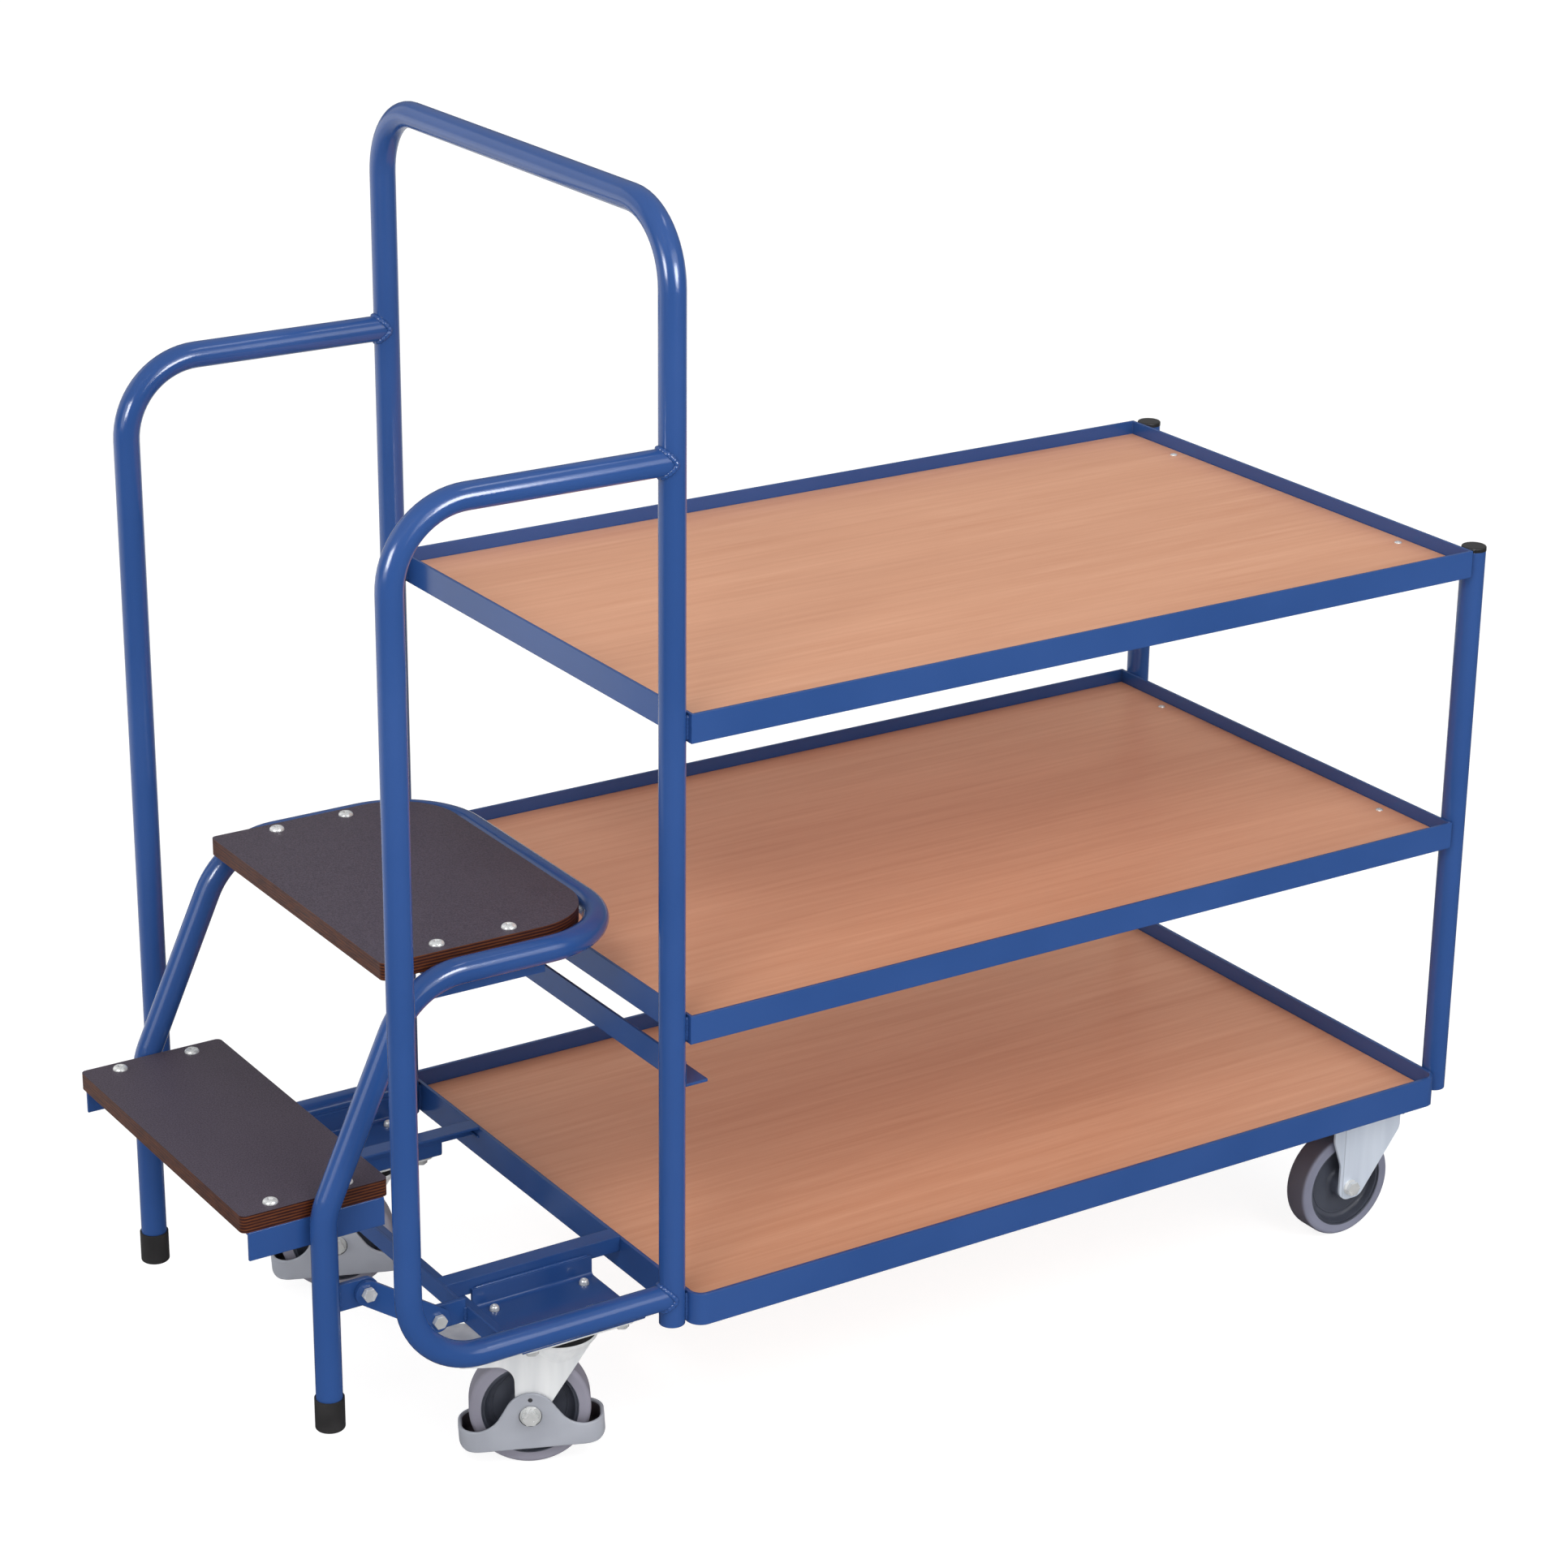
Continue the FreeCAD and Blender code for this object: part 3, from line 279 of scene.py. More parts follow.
def beech():
    """Long thin grain lines along the board, broken by slow waves, under a satin film."""
    material, tree, shader, place = new_material("beech_laminate")
    along = add_node(tree, "Mapping", {"Vector": place.outputs["Object"], "Scale": (1.6, 42.0, 42.0)})
    fibre = add_node(tree, "TexNoise", {"Vector": along.outputs["Vector"], "Scale": 3.2, "Detail": 9.0,
                                        "Roughness": 0.62, "Distortion": 0.25})
    wide = add_node(tree, "Mapping", {"Vector": place.outputs["Object"], "Scale": (0.7, 7.0, 7.0)})
    cloud = add_node(tree, "TexNoise", {"Vector": wide.outputs["Vector"], "Scale": 1.4, "Detail": 3.0,
                                        "Roughness": 0.5})
    thread = add_node(tree, "MapRange", {"Value": fibre.outputs["Fac"], "From Min": 0.28, "From Max": 0.72})
    wave = add_node(tree, "MapRange", {"Value": cloud.outputs["Fac"], "From Min": 0.3, "From Max": 0.7})
    grain = blend_colours(tree, thread.outputs["Result"], srgb(203, 144, 111), srgb(217, 162, 130))
    shade = blend_colours(tree, wave.outputs["Result"], (0.93, 0.91, 0.9, 1.0), (1.0, 1.0, 1.0, 1.0))
    tree.links.new(blend_colours(tree, 1.0, grain, shade, "MULTIPLY"), shader.inputs["Base Color"])
    gloss = add_node(tree, "MapRange", {"Value": fibre.outputs["Fac"], "To Min": 0.26, "To Max": 0.4})
    tree.links.new(gloss.outputs["Result"], shader.inputs["Roughness"])
    height = add_node(tree, "Bump", {"Height": fibre.outputs["Fac"], "Strength": 0.06, "Distance": 0.0005})
    tree.links.new(height.outputs["Normal"], shader.inputs["Normal"])
    shader.inputs["Specular IOR Level"].default_value = 0.35
    return material


beech_laminate = beech()
BOARDS = ("shelf_board_top", "shelf_board_middle", "base_board")
paint(beech_laminate, *BOARDS)


def shelf_beads(name):
    """Upright beads in the notches on both sides of the line where a post touches a frame's end."""
    low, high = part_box(name)
    inset, rear_inset = 0.002, 0.006
    notch, proud, radius = 0.007, 0.0008, 0.0021
    ends = ((low[0] - proud, high[2] - inset), (high[0] + proud, high[2] - rear_inset))
    return [bead(line((x, way * post_y + aside, low[2] + inset), (x, way * post_y + aside, top)), radius,
                 (1.0, 0.0, 0.0))
            for x, top in ends for side, way in SIDES for aside in (-notch, notch)]


add_piece("shelf_welds", [shape for name in ("shelf_frame_top", "shelf_frame_middle", "base_frame")
                          for shape in shelf_beads(name)], powder_blue, "frame")


def turned(profile, spot, sides=20, axis=(0.0, 0.0, 1.0)):
    """Turned shape: each (radius, height) of the profile swept round an axis through spot.
    The first and last profile points lie on the axis and close the ends."""
    axis = np.array(axis)
    first = np.cross(axis, (1.0, 0.0, 0.0) if abs(axis[0]) < 0.9 else (0.0, 1.0, 0.0))
    first /= np.linalg.norm(first)
    second = np.cross(axis, first)
    turn = np.linspace(0.0, 2.0 * math.pi, sides, endpoint=False)
    round_it = np.cos(turn)[:, None] * first + np.sin(turn)[:, None] * second
    inner = np.array(profile[1:-1])
    rings = np.array(spot) + inner[:, :1, None] * round_it + inner[:, 1:, None] * axis
    poles = np.array(spot) + np.array([[profile[0][1]], [profile[-1][1]]]) * axis
    return np.concatenate([rings.reshape(-1, 3), poles]), tube_faces(len(inner), sides, False)


bright_zinc = skinned("bright_zinc", srgb(210, 212, 212), srgb(234, 235, 234), rough=(0.2, 0.3), grain=900.0,
                      patch=(60.0, 60.0, 60.0), bump=(0.08, 0.0002), metal=0.45, edge=0.0006)


def dome(radius, height):
    """Profile of a domed head, from its seat up to the crown, with a small driver recess."""
    sunk = -0.0004
    bow = np.linspace(0.0, 0.5 * math.pi, 7)
    skirt = [(radius * math.cos(0.72 * angle), height * math.sin(angle)) for angle in bow]
    recess = [(radius * 0.3, height * 0.98), (radius * 0.22, height * 0.5), (0.0, height * 0.45)]
    return [(0.0, sunk), (radius, sunk), *skirt, *recess]


def board_screws():
    """Screws across the far end of the two upper boards, a finger's width in from the rim."""
    inset, spread = 0.0131, 0.199
    head = dome(radius=0.0042, height=0.0012)
    for name in BOARDS[:2]:
        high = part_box(name)[1]
        yield from (turned(head, (high[0] - inset, way * spread, high[2])) for side, way in SIDES)


add_piece("board_screws", list(board_screws()), bright_zinc, "frame")

# Base steel in front of the shelves: cross angle, runners, caster pans and link brackets, with
# the stop bar above them and the rear beam under the base shelf.
# Angle and plate, welded to the rails and posts and painted with the frame.
paint(powder_blue, "stop_bar", "cross_angle", "rear_beam",
      *both("base_runner", "caster_pan", "link_bracket"))


def base_beads():
    """Beads along the pans' lips, down both sides of the link brackets, at the cross angle's ends
    on the rails, at the stop bar's ends on the posts and where the runners meet the base shelf."""
    forward, upright = (1.0, 0.0, 0.0), (0.0, 0.0, 1.0)
    short, steps = 0.001, 40
    pan_end, pan_lip, pan_rise = 0.003, 0.0016, 0.0252
    pan_radius, pan_steps = 0.0021, 90
    runner_near, runner_far = 0.143, 0.1605
    runner_depth, runner_foot = 0.004, 0.003
    runner_sunk, runner_radius = 0.0005, 0.0018
    bracket_sunk, bracket_radius = 0.0004, 0.0022
    cross_proud, cross_radius = 0.0002, 0.0022
    bar_proud, bar_aside, bar_radius = 0.0006, 0.0065, 0.002
    cross_low, cross_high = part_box("cross_angle")
    bar_low, bar_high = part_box("stop_bar")
    for side, way in SIDES:
        low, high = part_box("caster_pan_" + side)
        lip, top = min(low[1], high[1], key=abs) + way * pan_lip, low[2] + pan_rise
        yield bead(line((low[0] + pan_end, lip, top), (high[0] - pan_end, lip, top), pan_steps), pan_radius,
                   upright)
        runner_low, runner_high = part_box("base_runner_" + side)
        x = runner_high[0] - runner_sunk
        for depth in (runner_depth, runner_high[2] - runner_low[2] - runner_foot):
            z = runner_high[2] - depth
            yield bead(line((x, way * runner_near, z), (x, way * runner_far, z)), runner_radius, upright)
        plate_low, plate_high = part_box("link_bracket_" + side)
        x = plate_high[0] - bracket_sunk
        for y in (plate_low[1], plate_high[1]):
            yield bead(line((x, y, plate_low[2] + short), (x, y, runner_high[2])), bracket_radius, forward)
        height = np.linspace(cross_low[2] + short, cross_high[2] - short, steps)
        gap = np.sqrt(tube ** 2 - (height - rail_low[2] - tube) ** 2)
        path = np.stack([np.full(steps, cross_low[0] - cross_proud), way * (post_y - gap), height], axis=1)
        yield bead(path, cross_radius, forward)
        x, y = bar_low[0] - bar_proud, way * (post_y - bar_aside)
        yield bead(line((x, y, bar_low[2] + short), (x, y, bar_high[2] - short)), bar_radius, forward)


add_piece("base_welds", list(base_beads()), powder_blue, "frame")


def hexagon_nut(across, height):
    """Profile for six sides: flat faces with a small chamfer at either end."""
    corner = across / math.sqrt(3.0)
    soft = across * 0.06
    return [(0.0, 0.0), (corner - soft, 0.0), (corner, soft * 0.6), (corner, height - soft * 0.6),
            (corner - soft, height), (0.0, height)]


def plate_bolts(plate, half_length, half_width):
    """Places in plan of a caster plate's four bolts, about the middle of the named node."""
    low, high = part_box(plate)
    middle = (low + high) / 2.0
    return [(middle[0] + along * half_length, middle[1] + across * half_width)
            for along in (-1.0, 1.0) for across in (-1.0, 1.0)]


bolt_nut = hexagon_nut(across=0.013, height=0.0065)


def swivel_bolts():
    """Bolt ends that stand up through the pans, and the nuts under the caster plates, in pairs."""
    pan_steel, nut_drop = 0.004, 0.0145
    stud = dome(radius=0.0052, height=0.0055)
    for side, way in SIDES:
        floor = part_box("caster_pan_" + side)[0][2] + pan_steel
        for x, y in plate_bolts("caster_pan_" + side, half_length=0.0525, half_width=0.038):
            yield turned(stud, (x, y, floor)), turned(bolt_nut, (x, y, floor - nut_drop), sides=6)


pan_studs, pan_nuts = zip(*swivel_bolts())
add_piece("pan_studs", pan_studs, bright_zinc, "frame")
add_piece("pan_nuts", pan_nuts, bright_zinc, "frame", smooth=False)

# Swivel casters: pressed forks under a ball race, bright zinc plated, with soft upright streaks.
# Grey soft tyres are moulded on dark plastic wheel centres, as on the fixed casters, and a grey
# moulded brake pedal goes round each swivel wheel on the axle.
def race_shaded(name, low, high):
    """The plated sheet, darkened with painted shade from the height low to the height high, where the race's
    groove and the plate's underside lie in shadow.
    """
    material = skinned(name, srgb(224, 226, 228), srgb(242, 243, 243), rough=(0.3, 0.44), grain=340.0,
                       patch=(70.0, 70.0, 7.0), bump=(0.08, 0.0003), metal=0.2, edge=0.001)
    tree = material.node_tree
    shader = tree.nodes["Principled BSDF"]
    sheet = shader.inputs["Base Color"].links[0].from_socket
    spot = add_node(tree, "SeparateXYZ", {"Vector": tree.nodes["Texture Coordinate"].outputs["Object"]})
    band = add_node(tree, "Math", {0: spot.outputs["Z"], 1: (low + high) / 2.0, 2: (high - low) / 2.0},
                    operation="COMPARE")
    # Painted shade: near-black in the band from low to high.
    painted_race_shade = blend_colours(tree, band.outputs[0], sheet, srgb(22, 21, 24))
    tree.links.new(painted_race_shade, shader.inputs["Base Color"])
    return material


plate_steel, crown_depth = 0.0042, 0.0113
plate_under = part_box("caster_pan_left")[0][2] - plate_steel
crown_rim = plate_under - crown_depth
# Painted shade under the swivel plates, and in the race's groove between plate and crown.
paint(race_shaded("plate_race_shade", 0.0, plate_under), *both("swivel_plate"))
paint(race_shaded("crown_race_shade", crown_rim, plate_under), *both("swivel_fork"))
paint(bright_zinc, *both("swivel_axle", "fixed_axle"))
# Painted light: the swivel tyres' rubber is made lighter than the fixed tyres' rubber below, to offset the
# shade of the pedals over them.
tyre_painted_light = skinned("tyre_painted_light", srgb(131, 129, 142), srgb(147, 145, 158), rough=(0.5, 0.62), grain=1500.0,
                    patch=(14.0, 14.0, 14.0), bump=(0.15, 0.0003))
paint(tyre_painted_light, *both("swivel_tyre"))
tyre_slate = skinned("tyre_slate", srgb(111, 113, 131), srgb(127, 129, 147), rough=(0.5, 0.62), grain=1500.0,
                     patch=(14.0, 14.0, 14.0), bump=(0.15, 0.0003))


def darker_tread(material, tone):
    """Darken the tread, where a tyre's surface doesn't face along its axle, the Y direction."""
    tree = material.node_tree
    shader = tree.nodes["Principled BSDF"]
    rubber = shader.inputs["Base Color"].links[0].from_socket
    facing = add_node(tree, "SeparateXYZ", {"Vector": tree.nodes["Texture Coordinate"].outputs["Normal"]})
    sideways = add_node(tree, "Math", {0: facing.outputs["Y"]}, operation="ABSOLUTE")
    tread = add_node(tree, "MapRange", {"Value": sideways.outputs[0], "From Min": 0.35, "From Max": 0.8,
                                        "To Min": 1.0, "To Max": 0.0})
    tree.links.new(blend_colours(tree, tread.outputs["Result"], rubber, tone), shader.inputs["Base Color"])


# The fixed tyres are darker on the tread faces than on the sidewalls.
darker_tread(tyre_slate, srgb(84, 82, 94))
paint(tyre_slate, *both("fixed_tyre"))
wheel_core = skinned("wheel_core", srgb(58, 61, 72), srgb(72, 76, 88), rough=(0.38, 0.5), grain=1300.0,
                     patch=(25.0, 25.0, 25.0), bump=(0.12, 0.0003))
paint(wheel_core, *both("swivel_rim", "fixed_rim"))
pedal_grey = skinned("pedal_grey", srgb(150, 153, 162), srgb(164, 167, 176), rough=(0.45, 0.58), grain=1900.0,
                     patch=(18.0, 18.0, 18.0), bump=(0.25, 0.0003))
paint(pedal_grey, *both("brake_pedal"))


def pedal_edge(along):
    """Upper edge of a pedal's side, a height over the axle for each distance along from it.
    A round crest over the axle, a straight flank and a hollow round run down to a level band."""
    band, peak, slope = -0.0155, 0.0245, math.radians(57.0)
    crest, hollow = 0.027, 0.03
    reach = np.abs(along)
    line_start = crest * math.sin(slope)
    line_top = peak - crest + crest * math.cos(slope)
    line_end = line_start + (line_top - band - hollow * (1.0 - math.cos(slope))) / math.tan(slope)
    foot = line_end + hollow * math.sin(slope)
    round_top = peak - crest + np.sqrt(np.clip(crest ** 2 - reach ** 2, 0.0, None))
    straight = line_top - (reach - line_start) * math.tan(slope)
    round_foot = band + hollow - np.sqrt(np.clip(hollow ** 2 - (foot - reach) ** 2, 0.0, None))
    return np.select([reach < line_start, reach < line_end, reach < foot],
                     [round_top, straight, round_foot], band)


def pedal_place(side, along, across, upward):
    """Points of a pedal in the part's frame, from lengths along the wheel, across it and upward from
    the axle; the whole pedal is tipped a little about the axle."""
    tip = math.radians(3.5)
    middle = np.mean(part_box("swivel_tyre_" + side), axis=0)
    axis = np.array(joints["pedal_press_" + side]["axis"])
    ahead = np.cross(axis, (0.0, 0.0, 1.0))
    ahead *= np.sign(ahead[0])
    return (middle + (along * math.cos(tip) - upward * math.sin(tip))[..., None] * ahead
            + across[..., None] * axis * np.sign(axis[1])
            + (along * math.sin(tip) + upward * math.cos(tip))[..., None] * np.array((0.0, 0.0, 1.0)))


def pedal_band(side, inset=0.0, half_wall=0.002, trim=0.0):
    """Band round the wheel: the plan is a rectangle with round corners, walked at even steps, and at
    each step a flat wall with a half-round top and foot stands from the low edge to the pedal's edge.
    A lining, a thin dark sheet of painted shade just inside the band, has its plan inset and its edges
    trimmed."""
    half_length, half_width, corner = 0.073 - inset, 0.0258 - inset, 0.02 - inset
    low, low_round = -0.0395 + trim, 0.01
    bends, steps, arc = 96, 300, 8
    bend = (np.arange(bends + 1) + 0.5) * 2.0 * math.pi / bends
    swing = np.stack([np.cos(bend), np.sin(bend)], axis=1)
    loop = corner * swing + np.sign(swing) * (half_length - corner, half_width - corner)
    run = np.cumsum(np.linalg.norm(np.diff(loop, axis=0, prepend=loop[:1]), axis=1))
    walk = np.linspace(0.0, run[-1], steps, endpoint=False)
    plan = np.stack([np.interp(walk, run, loop[:, 0]), np.interp(walk, run, loop[:, 1])], axis=1)
    step = np.roll(plan, -1, axis=0) - np.roll(plan, 1, axis=0)
    outward = np.stack([step[:, 1], -step[:, 0]], axis=1) / np.linalg.norm(step, axis=1, keepdims=True)
    over = np.clip(np.abs(plan[:, 0]) - (half_length + half_wall - low_round), 0.0, low_round)
    foot = low + low_round - np.sqrt(low_round ** 2 - over ** 2)
    cap = np.linspace(0.0, math.pi, arc)
    shift = -half_wall * np.concatenate([np.cos(cap), np.cos(cap + math.pi)])
    lift = half_wall * np.concatenate([np.sin(cap) - 1.0, np.sin(cap + math.pi) + 1.0])
    along = plan[:, :1] + outward[:, :1] * shift
    across = plan[:, 1:] + outward[:, 1:] * shift
    edge = pedal_edge(plan[:, 0]) - trim
    upward = lift + np.where(np.arange(2 * arc) < arc, edge[:, None], foot[:, None])
    return pedal_place(side, along, across, upward).reshape(-1, 3), tube_faces(steps, 2 * arc, True)


def pedal_floor(side, end):
    """Floor of the pocket at one end of a pedal: a thin plate from near the tyre to the band, whose
    outer edge follows the circle of the band's corners."""
    steps, half_width, reach, corner = 13, 0.0236, 0.0709, 0.018
    half_plate, tyre_clear, top, under = 0.0226, 0.0545, -0.034, -0.035
    across = end * np.linspace(-half_plate, half_plate, steps)
    over = np.clip(np.abs(across) - (half_width - corner), 0.0, corner)
    outer = reach - corner + np.sqrt(corner ** 2 - over ** 2)
    inner = np.full(steps, tyre_clear)
    along = end * np.stack([inner, outer, outer, inner], axis=1)
    upward = np.tile((top, top, under, under), (steps, 1))
    rings = pedal_place(side, along, np.repeat(across[:, None], 4, axis=1), upward)
    points = np.concatenate([rings.reshape(-1, 3), rings[:1].mean(axis=1), rings[-1:].mean(axis=1)])
    return points, tube_faces(steps, 4, False)


# Painted shade: the pedals' dark lining and the floors of their end pockets stand for the shade inside the
# band.
pocket_painted_shade = skinned("pocket_painted_shade", srgb(58, 52, 58), srgb(70, 64, 70), rough=(0.6, 0.7), grain=1900.0,
                      patch=(18.0, 18.0, 18.0), bump=(0.2, 0.0003))
for side, way in SIDES:
    body = "pedal_" + side
    pedal = add_piece("pedal_shell_" + side, [pedal_band(side)], pedal_grey, body)
    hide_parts("brake_pedal_" + side)
    shade_lining = [pedal_band(side, inset=0.0021, half_wall=0.0004, trim=0.0024)]
    floors = [pedal_floor(side, end) for end in (1.0, -1.0)]
    add_piece("pedal_shade_lining_" + side, shade_lining + floors, pocket_painted_shade, body)


def hoop(radius, thick, spot, axis):
    """Thin ring round an axis: the point at angle a is the spot plus the radius times the turned
    direction, and a round section of the given thickness goes along it."""
    axis = np.array(axis)
    first = np.cross(axis, (0.0, 0.0, 1.0))
    first /= np.linalg.norm(first)
    second = np.cross(axis, first)
    steps = 72
    turn = np.linspace(0.0, 2.0 * math.pi, steps, endpoint=False)[:, None]
    path = np.array(spot) + radius * (np.cos(turn) * first + np.sin(turn) * second)
    return bead(path, thick, axis, closed=True)


def wheel_rings(tyre, axis, radius, thick, out):
    """A pair of thin rings, one on each face of a wheel, at a distance out from its middle.
    The lips lie where a tyre meets its centre, and the steps lie in the disc."""
    middle = np.mean(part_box(tyre), axis=0)
    return [hoop(radius, thick, middle + face * out * axis, axis) for face in (-1.0, 1.0)]


for kind, place in (("swivel", "front"), ("fixed", "rear")):
    for side, way in SIDES:
        body = place + "_wheel_" + side
        tyre = kind + "_tyre_" + side
        axis = np.array(joints[place + "_wheel_spin_" + side]["axis"])
        lips = wheel_rings(tyre, axis, radius=0.0497, thick=0.0011, out=0.0152)
        add_piece(body + "_lips", lips, wheel_core, body)
        steps = wheel_rings(tyre, axis, radius=0.0385, thick=0.0009, out=0.0048)
        add_piece(body + "_steps", steps, wheel_core, body)

# Painted shade for the pedals' holes and washer seats.
pit_painted_shade = skinned("pit_painted_shade", srgb(40, 41, 45), srgb(52, 53, 58), rough=(0.6, 0.7), grain=1500.0,
                   patch=(40.0, 40.0, 40.0), bump=(0.1, 0.0002))


def pedal_pits(side):
    """On both faces of a pedal: thin dark discs of painted shade, a small one for a round hole over the axle
    and a larger one set a little low behind the washer, so that shade shows under it.
    """
    middle = np.mean(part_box("swivel_tyre_" + side), axis=0)
    axis = np.array(joints["pedal_press_" + side]["axis"])
    axis = axis / np.linalg.norm(axis)
    thin, wall_out = 0.00006, 0.0278
    for face in (-1.0, 1.0):
        wall = middle + face * wall_out * axis
        for radius, rise, sides in ((0.0024, 0.0172, 20), (0.0118, -0.0016, 36)):
            disc = [(0.0, -thin), (radius, -thin), (radius, thin), (0.0, thin)]
            yield turned(disc, wall + np.array((0.0, 0.0, rise)), sides, face * axis)


for side, way in SIDES:
    add_piece("pedal_pits_" + side, list(pedal_pits(side)), pit_painted_shade, "pedal_" + side)


# Fixed casters: flat-legged forks of the same plated sheet, each leg creased along its front
# edge, welded to a top plate that is bolted under the rear beam.
def creased_zinc(axle_x):
    """Plated sheet whose narrow front strip is shaded as if turned a little towards the front at a crease
    line, by a tilted shading normal, with a painted shade along the crease line.
    """
    material, tree, shader, place = new_material("creased_zinc")
    crease_x = axle_x - 0.0105
    half_bend, half_line, tilt = 0.001, 0.0007, -0.45
    cover = cover_with_skin(tree, place, grain=340.0, patch=(60.0, 60.0, 6.0))
    spot = add_node(tree, "SeparateXYZ", {"Vector": place.outputs["Object"]})
    strip = add_node(tree, "MapRange", {"Value": spot.outputs["X"], "From Min": crease_x - half_bend,
                                        "From Max": crease_x + half_bend, "To Min": 1.0, "To Max": 0.0})
    lean = add_node(tree, "VectorMath", {0: (tilt, 0.0, 0.0), "Scale": strip.outputs["Result"]},
                    operation="SCALE")
    turned_lean = add_node(tree, "VectorTransform", {"Vector": lean.outputs["Vector"]},
                           vector_type="VECTOR", convert_from="OBJECT", convert_to="WORLD")
    facing = add_node(tree, "NewGeometry")
    tilted = add_node(tree, "VectorMath", {0: facing.outputs["Normal"], 1: turned_lean.outputs["Vector"]},
                      operation="ADD")
    even = add_node(tree, "VectorMath", {0: tilted.outputs["Vector"]}, operation="NORMALIZE")
    height = add_node(tree, "Bump", {"Height": cover.outputs["Height"], "Strength": 0.08,
                                     "Distance": 0.0003, "Normal": even.outputs["Vector"]})
    # Painted shade: a darker line along the crease.
    crease = add_node(tree, "Math", {0: spot.outputs["X"], 1: crease_x, 2: half_line}, operation="COMPARE")
    dark = add_node(tree, "Math", {0: crease.outputs[0], 1: 0.4}, operation="MULTIPLY")
    sheet = blend_colours(tree, cover.outputs["Drift"], srgb(194, 203, 218), srgb(222, 230, 241))
    creased = blend_colours(tree, dark.outputs[0], sheet, srgb(120, 126, 140))
    tree.links.new(creased, shader.inputs["Base Color"])
    gloss = add_node(tree, "MapRange", {"Value": cover.outputs["Drift"], "To Min": 0.28, "To Max": 0.42})
    tree.links.new(gloss.outputs["Result"], shader.inputs["Roughness"])
    tree.links.new(height.outputs["Normal"], shader.inputs["Normal"])
    shader.inputs["Metallic"].default_value = 0.25
    return material


wheel_low, wheel_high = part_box("fixed_tyre_left")
paint(creased_zinc((wheel_low[0] + wheel_high[0]) / 2.0), *both("fixed_fork"))


def fixed_nuts():
    """Nuts under the fixed casters' plates."""
    nut_drop = 0.0105
    for side, way in SIDES:
        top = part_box("fixed_fork_" + side)[1][2]
        for x, y in plate_bolts("fixed_fork_" + side, half_length=0.04, half_width=0.03):
            yield turned(bolt_nut, (x, y, top - nut_drop), sides=6)


add_piece("fixed_nuts", list(fixed_nuts()), bright_zinc, "frame", smooth=False)

# Step unit: one bent tube with tread angles and lugs, on a pair of links with zinc bolts.
# Dark film-faced plywood treads lie on the angles, each held by four domed screws, and black
# rubber caps are pushed on the feet.
paint(powder_blue, "step_tube", *both("upper_tread_angle", "lower_tread_angle", "step_lug", "link_bar"))
paint(bright_zinc, *both("base_link_bolt", "step_link_bolt"))
foot_rubber = skinned("foot_rubber", srgb(28, 27, 28), srgb(40, 38, 39), rough=(0.55, 0.7), grain=1400.0,
                      patch=(30.0, 30.0, 30.0), bump=(0.2, 0.0003))
paint(foot_rubber, *both("foot_cap"))


def step_beads():
    """Beads down both sides of each lug on its leg."""
    proud, short, radius = 0.0002, 0.001, 0.0022
    for side, way in SIDES:
        low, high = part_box("step_lug_" + side)
        x = low[0] - proud
        for y in (low[1], high[1]):
            yield bead(line((x, y, low[2] + short), (x, y, high[2] - short)), radius, (1.0, 0.0, 0.0))


add_piece("step_welds", list(step_beads()), powder_blue, "step")


